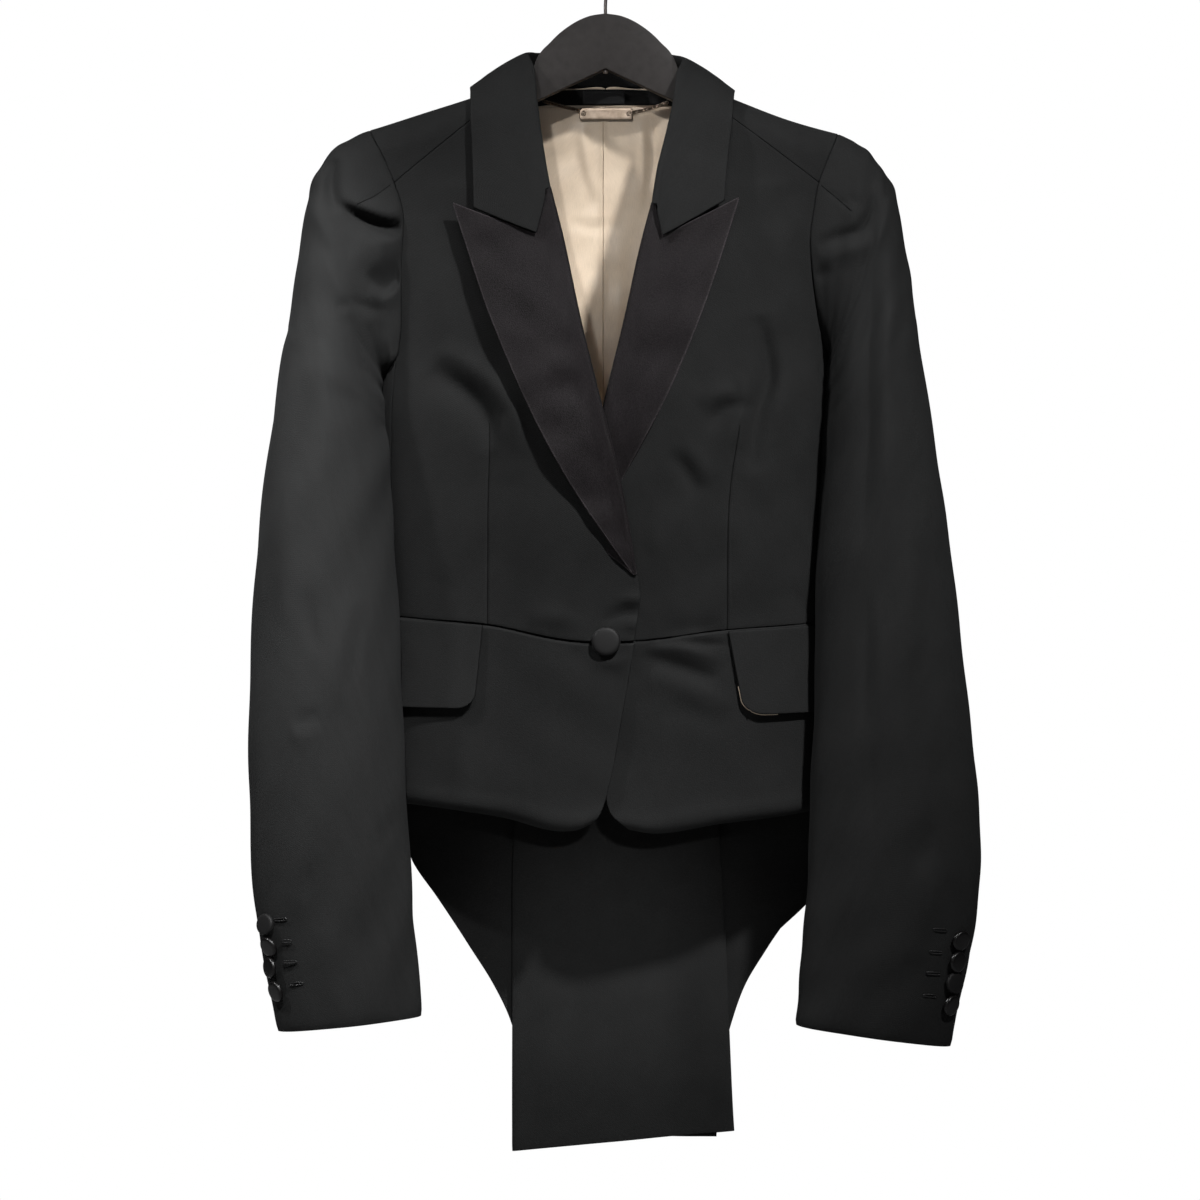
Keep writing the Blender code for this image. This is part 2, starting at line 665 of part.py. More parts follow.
def open_seams(grid, gap=SEAM_GAP / 2):
    """Draws a panel's four edges in by half a seam gap."""
    grid = grid.copy()
    grid[0] += unit(grid[1] - grid[0]) * gap
    grid[-1] += unit(grid[-2] - grid[-1]) * gap
    grid[:, 0] += unit(grid[:, 1] - grid[:, 0]) * gap
    grid[:, -1] += unit(grid[:, -2] - grid[:, -1]) * gap
    return grid


def grid_normals(grid):
    down = np.gradient(grid, axis=0)
    across = np.gradient(grid, axis=1)
    return unit(np.cross(down, across))


def grid_faces(rows, columns, offset, turned):
    faces = []
    for row in range(rows - 1):
        for place in range(columns - 1):
            first = offset + row * columns + place
            face = (first, first + 1, first + columns + 1, first + columns)
            faces.append(face[::-1] if turned else face)
    return faces


def rim_faces(rows, columns, offset):
    """Quads that close the rim between two equal grids."""
    rim = [place for place in range(columns)]
    rim += [row * columns + columns - 1 for row in range(1, rows)]
    rim += [(rows - 1) * columns + place for place in range(columns - 2, -1, -1)]
    rim += [row * columns for row in range(rows - 2, 0, -1)]
    faces = []
    for first, second in zip(rim, rim[1:] + rim[:1]):
        faces.append((second, first, first + offset, second + offset))
    return faces


def material(name):
    found = bpy.data.materials.get(name)
    if found:
        return found
    finish = FINISHES[name]
    found = bpy.data.materials.new(name)
    found.use_nodes = True
    shader = found.node_tree.nodes["Principled BSDF"]
    shader.inputs["Base Color"].default_value = (*finish.colour, 1)
    shader.inputs["Roughness"].default_value = finish.roughness
    shader.inputs["Metallic"].default_value = finish.metallic
    return found


def add_mesh(name, points, faces, finish, sharp_angle=40):
    """A smooth-shaded object from points in millimetres, with its faces pointing out."""
    mesh = bpy.data.meshes.new(name)
    mesh.from_pydata((np.asarray(points) * MM).tolist(), [], faces)
    edit = bmesh.new()
    edit.from_mesh(mesh)
    bmesh.ops.recalc_face_normals(edit, faces=edit.faces)
    edit.to_mesh(mesh)
    edit.free()
    mesh.shade_smooth()
    mesh.set_sharp_from_angle(angle=math.radians(sharp_angle))
    mesh.materials.append(material(finish))
    item = bpy.data.objects.new(name, mesh)
    bpy.context.collection.objects.link(item)
    return item


def outward_normals(grid, outward):
    """Normals of a grid, on the side that outward tells at its middle."""
    normals = grid_normals(grid)
    middle = normals[grid.shape[0] // 2, grid.shape[1] // 2]
    return -normals if np.dot(middle, outward) < 0 else normals


def add_wall(name, grid, thickness, finish, normals):
    """A closed cloth wall under a grid of outer points, with its inner rim drawn in."""
    inner = open_seams(grid - normals * thickness, RIM_DRAWN_IN)
    rows, columns = grid.shape[:2]
    count = rows * columns
    points = np.concatenate([grid.reshape(-1, 3), inner.reshape(-1, 3)])
    faces = grid_faces(rows, columns, 0, False)
    faces += grid_faces(rows, columns, count, True)
    faces += rim_faces(rows, columns, count)
    return add_mesh(name, points, faces, finish)


def front_edge(side, share):
    x = column(FRONT_EDGE, "share", SIDES[side] + "_x", share)
    z = column(FRONT_EDGE, "share", SIDES[side] + "_z", share)
    return x, z


def side_seam(share, top_angle, waist_angle):
    return mix(top_angle, waist_angle, ease(share))


def front_seam_points(side, shares):
    """Side front seam, from the armhole to the waist."""
    start = armhole_point(side, SIDE_FRONT)
    angle = side_seam(shares, angle_of(side, start[0], start[2]), SIDE_SEAM_WAIST)
    height = mix(start[2], waist_height(side, SIDE_SEAM_WAIST), shares)
    return angle, height


def back_seam_points(side, shares):
    """Side back seam, from the armhole to the waist."""
    start = armhole_point(side, SIDE_BACK)
    angle = side_seam(shares, 180 - angle_of(side, start[0], start[2]), BACK_SEAM_WAIST)
    height = mix(start[2], waist_height(side, BACK_SEAM_WAIST), shares)
    return angle, height


def lap_out(side, x, z):
    """How far a front stands out where it laps over the other."""
    if side == RIGHT:
        return np.zeros(np.broadcast(x, z).shape)
    across = ease((x - LAP_ENDS) / (LAP_FLAT_FROM - LAP_ENDS))
    amount = mix(LAP_OUT_BELOW, LAP_OUT, ease((z - LAP_BELOW_FROM) / LAP_BELOW_FADE))
    near_roll = ease((LAP_ROLL_FROM - z) / LAP_ROLL_FADE)
    return across * amount * near_roll


def front_panel(side):
    """From the forward shoulder seam to the waist seam, neck edge to armhole and side seam."""
    _, front, _, _ = armhole_angles()
    upper = armhole_point(side, front)
    angle, height = front_seam_points(side, np.linspace(0, 1, ROWS_SIDE + 1)[1:])
    lower = ring_point(side, angle, height)
    outer = np.concatenate([upper, lower])
    shares = np.concatenate(
        [
            np.linspace(0, ARMHOLE_SHARE, ROWS_ARMHOLE + 1),
            np.linspace(ARMHOLE_SHARE, 1, ROWS_SIDE + 1)[1:],
        ]
    )
    inner_x, inner_z = front_edge(side, shares)
    across = np.linspace(0, 1, COLUMNS_PANEL + 1)[None, :]
    x = mix(inner_x[:, None], outer[:, 0:1], across)
    z = mix(inner_z[:, None], outer[:, 2:3], across)
    waist_x = x[-1]
    z[-1] = waist_height(side, angle_of(side, waist_x, -505.0))
    z[-2] += (z[-1] - mix(inner_z[-1], outer[-1, 2], across[0])) * 0.5
    folds = fold_height(x, z, FRONT_FOLDS[side])
    grid = front_point(x, z, lap_out(side, x, z) + folds)
    grid[:, -1] = outer
    return grid


def side_panel(side):
    """Under the arm, from the armhole's foot to the waist seam."""
    _, _, under, _ = armhole_angles()
    shares = np.linspace(0, 1, ROWS_SIDE + 1)
    front_angle, front_height = front_seam_points(side, shares)
    back_angle, back_height = back_seam_points(side, shares)
    across = np.linspace(0, 1, COLUMNS_SIDE + 1)
    angle = mix(front_angle[:, None], back_angle[:, None], across[None, :])
    height = mix(front_height[:, None], back_height[:, None], across[None, :])
    grid = ring_point(side, angle, height)
    top = armhole_point(side, under)
    shift = top - grid[0]
    for row, fade in enumerate((1.0, 0.55, 0.2)):
        grid[row, 1:-1] += shift[1:-1] * fade
    grid[0] = top
    return grid


def back_panel(side):
    """From the waist seam up the back and over the shoulder to the forward seam."""
    shoulder, _, _, back = armhole_angles()
    angle, height = back_seam_points(side, np.linspace(1, 0, ROWS_SIDE + 1))
    lower = ring_point(side, angle, height)
    upper = armhole_point(side, back[1:])
    over = armhole_point(side, shoulder[1:])
    outer = np.concatenate([lower, upper, over])
    centre_rows = ROWS_SIDE + ROWS_BACK_ARMHOLE - 4
    centre_heights = np.linspace(waist_height(side, 180), -128.0, centre_rows)
    neck_x = np.array([0.0, 22.0, 40.0, 53.0])
    neck_z = np.full(4, FACING_TOP + 0.4)
    inner_x = np.concatenate([np.zeros(centre_rows), neck_x, [64.0, 66.0, 68.0, 69.5, 70.0]]) * side
    inner_z = np.concatenate([centre_heights, neck_z, np.zeros(5)])
    inner_along = along_from_height(inner_x, inner_z)
    seam_x, seam_z = front_edge(side, 0.0)
    end = -along_from_height(seam_x, seam_z)
    over_rows = ROWS_SHOULDER + 1
    inner_along[-over_rows:] = np.linspace(0, 1, over_rows) * end
    inner_x[-1] = seam_x
    outer_along = along_from_height(outer[:, 0], outer[:, 2])
    outer_along[-ROWS_SHOULDER:] *= -1
    across = np.linspace(0, 1, COLUMNS_PANEL + 1)[None, :]
    x = mix(inner_x[:, None], outer[:, 0:1], across)
    level = mix(inner_z[:, None], outer[:, 2:3], across)
    by_height = along_from_height(x, level)
    by_along = mix(inner_along[:, None], outer_along[:, None], across)
    upper_rows = np.arange(len(inner_x))[:, None]
    weight = ease((upper_rows - (centre_rows - 3)) / 5.0)
    along = mix(by_height, by_along, weight)
    grid = body_point(x, along)
    low = grid[0]
    low_angle = 180 - angle_of(side, low[:, 0], -498.0)
    grid[0] = back_point(low[:, 0], waist_height(side, low_angle))
    grid[:, -1] = outer
    front_top = front_panel(side)[0]
    grid[-1] = front_top
    return grid


def collar_grid():
    """Stand, fold and fall, from the left end round the neck to the right end."""
    neck, fold, edge = (np.array([getattr(row, name) for row in COLLAR]) for name in CollarStation._fields)
    stations = np.linspace(0, len(COLLAR) - 1, 2 * len(COLLAR) - 1)
    index = np.arange(len(COLLAR))

    def along(points):
        return np.stack([smooth(index, points[:, axis], stations) for axis in range(3)], axis=-1)

    neck, fold, edge = along(neck), along(fold), along(edge)
    tip = unit(fold - (neck + edge) / 2)
    spread = edge - neck
    spread = unit(spread - np.sum(spread * tip, axis=-1, keepdims=True) * tip)
    radius = COLLAR_FOLD_RADIUS
    inside = fold - tip * radius - spread * radius * 0.8
    outside = fold - tip * radius + spread * radius * 0.8
    rows = [neck, mix(neck, inside, 0.5), inside, fold, outside]
    rows += [mix(outside, edge, share) for share in (0.3, 0.6, 0.8, 1.0)]
    grid = np.stack(rows, axis=1)
    bulge = np.array([0, 0, 0, 0, 0, 1, 1, 0.5, 0]) * COLLAR_BULGE
    grid += spread[:, None] * bulge[None, :, None]
    shares = (0.0, 0.3, 0.6, 0.8, 1.0)
    for side, end, step in ((LEFT, 0, 1), (RIGHT, -1, -1)):
        notch = np.array(COLLAR_END[side])
        for column_index, share in enumerate(shares):
            start, finish = grid[end, 4, [0, 2]], grid[end, 8, [0, 2]]
            straight = mix(start, finish, share)
            if share < 0.3:
                target = straight
            else:
                target = mix(notch, finish, (share - 0.3) / 0.7)
            shift = target - straight
            for row, fade in enumerate((1.0, 0.66, 0.36, 0.14)):
                grid[end + step * row, 4 + column_index, [0, 2]] += shift * fade
    return grid


def covering_roll(z):
    """Where the left front's roll line, which laps over the right front, lies at a height."""
    roll = sorted((point.z, point.x) for point in LAPEL_ROLL[LEFT])
    return smooth([point[0] for point in roll], [point[1] for point in roll], z)


def lapel_grid(side, rows, columns):
    """The satin face of a lapel, on its front and a little off it."""
    roll = path(LAPEL_ROLL[side], rows)
    outer = path(LAPEL_OUTER[side], rows)
    notch = np.array(NOTCH[side])
    at = np.linspace(0, 1, columns)[:, None]
    first = mix(roll[0], notch, at / NOTCH_PLACE)
    second = mix(notch, outer[0], (at - NOTCH_PLACE) / (1 - NOTCH_PLACE))
    top = np.where(at < NOTCH_PLACE, first, second)
    bottom = mix(roll[-1], outer[-1], at)
    flat = coons(top, bottom, roll, outer)
    x, z = flat[..., 0], flat[..., 1]
    across = np.linspace(0, 1, columns)[None, :]
    down = np.linspace(0, 1, rows)[:, None]
    stand_off = column(LAPEL_STAND, "place", "out", down) * across**LAPEL_STAND_CURVE
    if side == RIGHT:
        stand_off = stand_off * ease((x - covering_roll(z)) / LAPEL_COVER_FADE)
    under = lap_out(side, x, z) + fold_height(x, z, FRONT_FOLDS[side])
    return front_point(x, z, under + LAPEL_OUT + stand_off)


def skirt_grid(side):
    rows, columns = 10, 13
    edge = path(SKIRT_EDGE[side], rows)
    edge_angle = angle_of(side, edge[:, 0], edge[:, 1])
    start = np.stack([edge_angle, edge[:, 1]], axis=-1)
    share = np.linspace(0, 1, columns)
    top_angle = mix(edge_angle[0], BACK_SEAM_WAIST, share)
    top = np.stack([top_angle, waist_height(side, top_angle)], axis=-1)
    hem_angle = column(SKIRT_HEM[side], "place", "angle", share)
    hem_height = column(SKIRT_HEM[side], "place", "height", share)
    bottom = np.stack([hem_angle, hem_height], axis=-1)
    bottom[0] = start[-1]
    end_height = np.linspace(top[-1, 1], bottom[-1, 1], rows)
    end = np.stack([np.full(rows, BACK_SEAM_WAIST), end_height], axis=-1)
    flat = coons(top, bottom, start, end)
    angle, height = flat[..., 0], flat[..., 1]
    x = side * half_width(height) * np.sin(np.radians(angle))
    facing_front = np.cos(np.radians(angle)) > 0
    out = lap_out(side, x, height) + fold_height(x, height, SKIRT_FOLDS[side]) * facing_front
    grid = ring_point(side, angle, height)
    grid[..., 1] -= out * facing_front
    return grid


def flap_grid(side):
    flap = FLAPS[side]
    rows, columns = 7, 6
    corner = flap.corner
    down = np.linspace(0, 1, rows)
    start = mix(np.array(flap.top_in), np.array(flap.bottom_in), down[:, None])
    end = mix(np.array(flap.top_out), np.array(flap.bottom_out), down[:, None])
    across = np.linspace(0, 1, columns)
    flat = mix(start[:, None], end[:, None], across[None, :, None])
    width = np.abs(flap.bottom_in[0] - flap.bottom_out[0])
    length = np.abs(flap.bottom_in[1] - flap.top_in[1])
    from_side = across * width
    from_bottom = (1 - down) * length
    round_off = np.clip(corner - from_side, 0, corner)
    lift = corner - np.sqrt(corner**2 - round_off**2)
    flat[-1, :, 1] += lift
    flat[-2, :, 1] = np.maximum(flat[-2, :, 1], flat[-1, :, 1] + from_bottom[-2] * 0.6)
    x, z = flat[..., 0], flat[..., 1]
    panel = front_point(x, z, lap_out(side, x, z))
    lift_off = FLAP_OUT + FLAP_LIFT * down[:, None, None]
    return panel + outward_normals(panel, (0, -1, 0)) * lift_off


def tail_fold_x(height):
    """The centre back fold leans towards the right as it hangs."""
    return TAIL_FOLD_LEAN * ease((TAIL_FOLD_FROM - height) / TAIL_FOLD_FADE)


def tail_wave(side, x, height):
    """How far a tail swings back from the body's own surface."""
    fold = tail_fold_x(height)
    reach = column(TAIL_EDGE, "height", SIDES[side], height)
    share = np.clip((x - fold) / (reach - fold), 0, 1)
    turn = share * TAIL_WAVE_TURN + TAIL_WAVE_START
    hanging = ease((TAIL_FOLD_FROM - height) / TAIL_WAVE_FADE)
    return TAIL_WAVE * np.sin(turn) * (1 - share**6) * hanging


def tail_grid(side):
    rows, columns = 15, 8
    share = np.linspace(0, 1, columns)[None, :]
    heights = np.linspace(TAIL_TOP, TAIL_HEM, rows)[:, None]
    outer = column(TAIL_EDGE, "height", SIDES[side], heights)
    fold = tail_fold_x(heights)
    x = mix(fold, outer, share)
    level = heights + 0 * x
    angle = 180 - angle_of(side, x[0], TAIL_TOP)
    top = waist_height(side, angle)
    fade = np.clip(1 - np.arange(rows)[:, None] / 4.0, 0, 1)
    level = level + (top[None, :] - heights[0]) * fade
    grid = back_point(x, level)
    grid[..., 1] += tail_wave(side, x, level)
    return grid


def pleat_side(side, fold, edge):
    """Half of the pleat's section, from its return's free edge to the front layer: x and depth."""
    inner = edge - side * PLEAT_FOLD_ROUND
    half_in = (PLEAT_RETURN_IN + PLEAT_IN) / 2
    return [
        (mix(fold, edge, 0.12), PLEAT_RETURN_IN),
        (mix(fold, edge, 0.36), PLEAT_RETURN_IN),
        (mix(fold, edge, 0.6), PLEAT_RETURN_IN),
        (mix(fold, edge, 0.8), PLEAT_RETURN_IN),
        (inner, PLEAT_RETURN_IN),
        (edge, half_in),
        (inner, PLEAT_IN),
        (mix(fold, edge, 0.5), PLEAT_IN),
    ]


def pleat_grid():
    """The pleat's underlay: back from the right return, round the right fold, across and round."""
    rows = 13
    grids = []
    for place in np.linspace(0, 1, rows):
        left_z = mix(PLEAT_TOP, PLEAT_HEM_LEFT, place)
        right_z = mix(PLEAT_TOP, PLEAT_HEM_RIGHT, place)
        left = column(PLEAT_EDGE, "height", "left", left_z)
        right = column(PLEAT_EDGE, "height", "right", right_z)
        fold = tail_fold_x((left_z + right_z) / 2)
        spots = pleat_side(RIGHT, fold, right)
        spots += [(fold, PLEAT_MIDDLE_IN)]
        spots += pleat_side(LEFT, fold, left)[::-1]
        x = np.array([spot[0] for spot in spots])
        into = np.array([spot[1] for spot in spots])
        z = mix(left_z, right_z, (x - left) / (right - left))
        points = back_point(x, z)
        wave = np.where(x > fold, tail_wave(RIGHT, x, z), tail_wave(LEFT, x, z))
        points[:, 1] += wave * (into == PLEAT_RETURN_IN) - into
        grids.append(points)
    return np.stack(grids)


def sleeve_point(side, angle, row):
    """A point of a sleeve. 0 is its outline's outer edge, 90 the front, 180 the inner edge."""
    table = SLEEVES[side]
    index = np.arange(len(table))

    def read(name):
        return smooth(index, [getattr(entry, name) for entry in table], row)

    out_x, out_z, in_x, in_z = (read(name) for name in ("out_x", "out_z", "in_x", "in_z"))
    radians = np.radians(angle)
    x = side * ((out_x + in_x) / 2 + (out_x - in_x) / 2 * np.cos(radians))
    z = (out_z + in_z) / 2 + (out_z - in_z) / 2 * np.cos(radians)
    y = read("middle_y") - read("half_depth") * np.sin(radians)
    return np.stack(np.broadcast_arrays(x, y, z), axis=-1)


def sleeve_ring(side):
    """The whole sleeve as a closed ring of columns, starting at the back seam."""
    shoulder, front, under, back = armhole_angles()
    behind = back[BACK_SEAM_COLUMN:-1] - 360
    below_seam = back[1:BACK_SEAM_COLUMN]
    angles = np.concatenate([behind, shoulder, front[1:], under[1:], below_seam])
    last = len(SLEEVES[side]) - 1
    head = np.arange(0, SLEEVE_HEAD_ROWS, SLEEVE_ROW_STEP)
    row = np.concatenate([head, np.arange(SLEEVE_HEAD_ROWS, last + 0.5, 1.0)])[:, None]
    front_seam = under[FRONT_SEAM_COLUMN]
    back_seam = back[BACK_SEAM_COLUMN]
    turn = (BACK_SEAM_CUFF - back_seam) * ease(row / last)
    over_top = (front_seam - angles) / (front_seam + 360 - back_seam)
    below = (angles - front_seam) / (back_seam - front_seam)
    placed = angles[None, :] + turn * np.where(angles < front_seam, over_top, below)[None, :]
    grid = sleeve_point(side, placed, row)
    seam = armhole_point(side, angles)
    fade = (1 - ease(row / ARMHOLE_FADE))[..., None]
    grid = grid + (seam - sleeve_point(side, angles, 0.0))[None] * fade
    in_front = ease(np.sin(np.radians(placed)) * 2.5) * ease(row / 1.5)
    grid[..., 1] -= fold_height(grid[..., 0], grid[..., 2], SLEEVE_FOLDS[side]) * in_front
    grid[0] = seam + into_armhole(side, angles) * ARMHOLE_GAP
    return grid


def into_armhole(side, angles):
    """Directions from the armhole seam into the hole, along the body."""
    step = 1.5
    before = armhole_point(side, angles - step)
    after = armhole_point(side, angles + step)
    tangent = unit(after - before)
    here = armhole_point(side, angles)
    middle = armhole_point(side, np.array([0.0, 90.0, 180.0, 270.0])).mean(axis=0)
    middle = middle + np.array([side * 25.0, 0, 0])
    towards = middle - here
    towards -= np.sum(towards * tangent, axis=-1, keepdims=True) * tangent
    return unit(towards)


def add_sleeve(side):
    """Upper and under sleeve, split from one ring at the front and back seams."""
    ring = sleeve_ring(side)
    columns = ring.shape[1]
    wrapped = np.concatenate([ring[:, -1:], ring, ring[:, :1]], axis=1)
    normals = grid_normals(wrapped)[:, 1:-1]
    row = ring.shape[0] // 2
    if np.dot(normals[row, 0], ring[row, 0] - ring[row].mean(axis=0)) < 0:
        normals = -normals
    front_seam = ROWS_BACK_ARMHOLE - BACK_SEAM_COLUMN + ROWS_SHOULDER + ROWS_ARMHOLE + FRONT_SEAM_COLUMN
    pieces = {"upper": np.arange(front_seam + 1), "under": np.arange(front_seam, columns + 1) % columns}
    for piece, places in pieces.items():
        grid = ring[:, places].copy()
        grid[:, 0] += unit(grid[:, 1] - grid[:, 0]) * SEAM_GAP / 2
        grid[:, -1] += unit(grid[:, -2] - grid[:, -1]) * SEAM_GAP / 2
        add_wall(f"sleeve_{piece}_{SIDES[side]}", grid, WOOL_THICKNESS, "wool", normals[:, places])


def add_button(name, centre, facing, radius, height, finish):
    """A covered button: a domed disc turned about its facing direction."""
    facing = unit(np.asarray(facing, float))
    side_way = unit(np.cross(facing, (0.0, 0.0, 1.0)))
    up_way = np.cross(side_way, facing)
    turns = BUTTON_TURNS
    points = [centre]
    for out, up in BUTTON_OUTLINE:
        for turn in range(turns):
            around = 2 * math.pi * turn / turns
            ring = side_way * math.cos(around) + up_way * math.sin(around)
            points.append(centre + ring * out * radius + facing * up * height)
    points.append(centre + facing * height)
    faces = []
    rings = len(BUTTON_OUTLINE)
    for turn in range(turns):
        after = (turn + 1) % turns
        faces.append((0, 1 + after, 1 + turn))
        for ring in range(rings - 1):
            low, high = 1 + ring * turns, 1 + (ring + 1) * turns
            faces.append((low + turn, low + after, high + after, high + turn))
        high = 1 + (rings - 1) * turns
        faces.append((high + turn, high + after, len(points) - 1))
    add_mesh(name, points, faces, finish, 60)


def add_buttons():
    x, z = np.array(MAIN_BUTTON_PLACE)
    seat = front_point(x, z, lap_out(LEFT, x, z) + MAIN_BUTTON_OUT)
    add_button("main_button", seat, (0, -1, 0), MAIN_BUTTON_RADIUS, MAIN_BUTTON_HEIGHT, "button_cloth")
    for side, name in SIDES.items():
        for number, button in enumerate(CUFF_BUTTONS[side], 1):
            place, facing = sleeve_place(side, button.x, button.z)
            finish = "button_cloth" if number == (1 if side == LEFT else 3) else "button_satin"
            label = f"cuff_button_{name}_{number}"
            seat = place + facing * CUFF_BUTTON_OUT
            add_button(label, seat, facing, CUFF_BUTTON_RADIUS, CUFF_BUTTON_HEIGHT, finish)


def sleeve_place(side, x, z):
    """The place of a sleeve's front that lies at x and z in the front view, and its normal."""
    last = len(SLEEVES[side]) - 1
    angle, row = 40.0, last - 1.5
    for _ in range(12):
        here = sleeve_point(side, angle, row)
        by_angle = (sleeve_point(side, angle + 1, row) - here)[[0, 2]]
        by_row = (sleeve_point(side, angle, row + 0.02) - here)[[0, 2]] / 0.02
        miss = np.array([x, z]) - here[[0, 2]]
        change = np.linalg.solve(np.stack([by_angle, by_row], axis=1), miss)
        angle = float(np.clip(angle + change[0], 8, 88))
        row = float(np.clip(row + change[1], last - 4, last))
    here = sleeve_point(side, angle, row)
    across = sleeve_point(side, angle + 1, row) - sleeve_point(side, angle - 1, row)
    down = sleeve_point(side, angle, min(row + 0.2, last)) - sleeve_point(side, angle, row - 0.2)
    normal = unit(np.cross(across, down))
    return here, normal if normal[1] < 0 else -normal


def add_panel(name, grid, thickness, finish, outward):
    add_wall(name, grid, thickness, finish, outward_normals(grid, outward))


def add_body():
    for side, name in SIDES.items():
        forward, outward, backward = (0, -1, 0), (side, 0, 0), (0, 1, 0)
        add_panel(f"front_{name}", open_seams(front_panel(side)), WOOL_THICKNESS, "wool", forward)
        add_panel(f"side_{name}", open_seams(side_panel(side)), WOOL_THICKNESS, "wool", outward)
        add_panel(f"back_{name}", open_seams(back_panel(side)), WOOL_THICKNESS, "wool", backward)
        add_panel(f"skirt_front_{name}", open_seams(skirt_grid(side)), WOOL_THICKNESS, "wool", forward)
        add_panel(f"tail_{name}", open_seams(tail_grid(side)), WOOL_THICKNESS, "wool", backward)
        add_panel(f"flap_{name}", flap_grid(side), WOOL_THICKNESS, "wool", forward)
        lapel = lapel_grid(side, 13, 9)
        add_panel(f"lapel_{name}", lapel, SATIN_THICKNESS, "lapel_satin", forward)
        add_sleeve(side)
    add_panel("tail_pleat", pleat_grid(), WOOL_THICKNESS, "wool", (0, -1, 0))
    add_panel("collar", collar_grid(), COLLAR_THICKNESS, "wool", (0, 1, 0))


def add_inner(name, panel, inwards, thickness, finish):
    """A wall inside the back, moved in from the back's own points."""
    normals = outward_normals(panel, (0, 1, 0))
    add_wall(name, panel - normals * inwards, thickness, finish, normals)


def add_inside():
    """Back lining, neck facing, bare label and the metal hanger loop."""
    seam = LINING_SEAM
    for side, name in SIDES.items():
        x = np.linspace(seam + side * SEAM_GAP / 2, side * LINING_HALF_WIDTH, 7)[None, :]
        z = np.linspace(LINING_TOP, LINING_BOTTOM, 10)[:, None]
        narrow = mix(LINING_NECK_SHARE, 1, ease((LINING_TOP - z) / LINING_NECK_DEEP))
        panel = back_point(x * np.where(np.abs(x) > 3, narrow, 1), z)
        add_inner(f"lining_{name}", panel, LINING_IN, LINING_THICKNESS, "lining")
    x = np.linspace(-FACING_HALF_WIDTH, FACING_HALF_WIDTH, 13)[None, :]
    z = np.linspace(FACING_TOP - 0.6, FACING_BOTTOM, 3)[:, None]
    add_inner("neck_facing", back_point(x, z), LINING_IN, LINING_THICKNESS, "wool")
    x = np.linspace(LABEL_MIDDLE - LABEL_HALF_WIDTH, LABEL_MIDDLE + LABEL_HALF_WIDTH, 5)[None, :]
    z = np.linspace(LABEL_TOP, LABEL_BOTTOM, 2)[:, None]
    label_in = LINING_IN + LINING_THICKNESS + LABEL_OFF
    add_inner("neck_label", back_point(x, z), label_in, LABEL_THICKNESS, "label")
    width, depth, height = PLATE_SIZE
    add_box("loop_plate", PLATE_MIDDLE, (width, depth, height), PLATE_CORNER, "plate_metal")
    for side, name in SIDES.items():
        add_wire(f"loop_chain_{name}", CHAIN_ENDS[side], CHAIN_RADIUS, "plate_metal", 2)


def add_box(name, middle, size, corner, finish):
    """A flat plate with rounded corners in the front view."""
    half_x, half_z = size[0] / 2 - corner, size[2] / 2 - corner
    outline = []
    for start, (sign_x, sign_z) in zip((0, 90, 180, 270), ((1, 1), (-1, 1), (-1, -1), (1, -1))):
        for turn in (0, 45, 90):
            around = math.radians(start + turn)
            x = sign_x * half_x + corner * math.cos(around)
            z = sign_z * half_z + corner * math.sin(around)
            outline.append((middle[0] + x, middle[2] + z))
    add_prism(name, outline, middle[1] - size[1] / 2, middle[1] + size[1] / 2, finish)


def add_prism(name, outline, front, back, finish):
    count = len(outline)
    points = [(x, front, z) for x, z in outline] + [(x, back, z) for x, z in outline]
    faces = [tuple(range(count)), tuple(range(2 * count - 1, count - 1, -1))]
    for first in range(count):
        second = (first + 1) % count
        faces.append((first, first + count, second + count, second))
    return add_mesh(name, points, faces, finish)


def add_wire(name, points, radius, finish, resolution):
    curve = bpy.data.curves.new(name, "CURVE")
    curve.dimensions = "3D"
    curve.bevel_depth = radius * MM
    curve.bevel_resolution = resolution
    curve.use_fill_caps = True
    spline = curve.splines.new("POLY")
    spline.points.add(len(points) - 1)
    for target, point in zip(spline.points, points):
        target.co = (*(np.asarray(point) * MM), 1)
    curve.materials.append(material(finish))
    item = bpy.data.objects.new(name, curve)
    bpy.context.collection.objects.link(item)
    return item


def hanger_outline(step):
    """Top and bottom edges of the hanger body over its whole width."""
    arm = np.arange(HANGER_ARM_END, HANGER_NECK + 1, -step)
    neck = np.linspace(-HANGER_NECK, HANGER_NECK, 19)
    reach = np.concatenate([-arm, neck, arm[::-1]])
    top = column(HANGER, "out", "top", np.abs(reach))
    in_sleeve = ease((np.abs(reach) - HANGER_NECK) / HANGER_NECK_FADE)
    top = mix(top, shoulder_line(reach) - HANGER_DROP, in_sleeve)
    bottom = column(HANGER, "out", "bottom", np.abs(reach))
    return reach, top, bottom


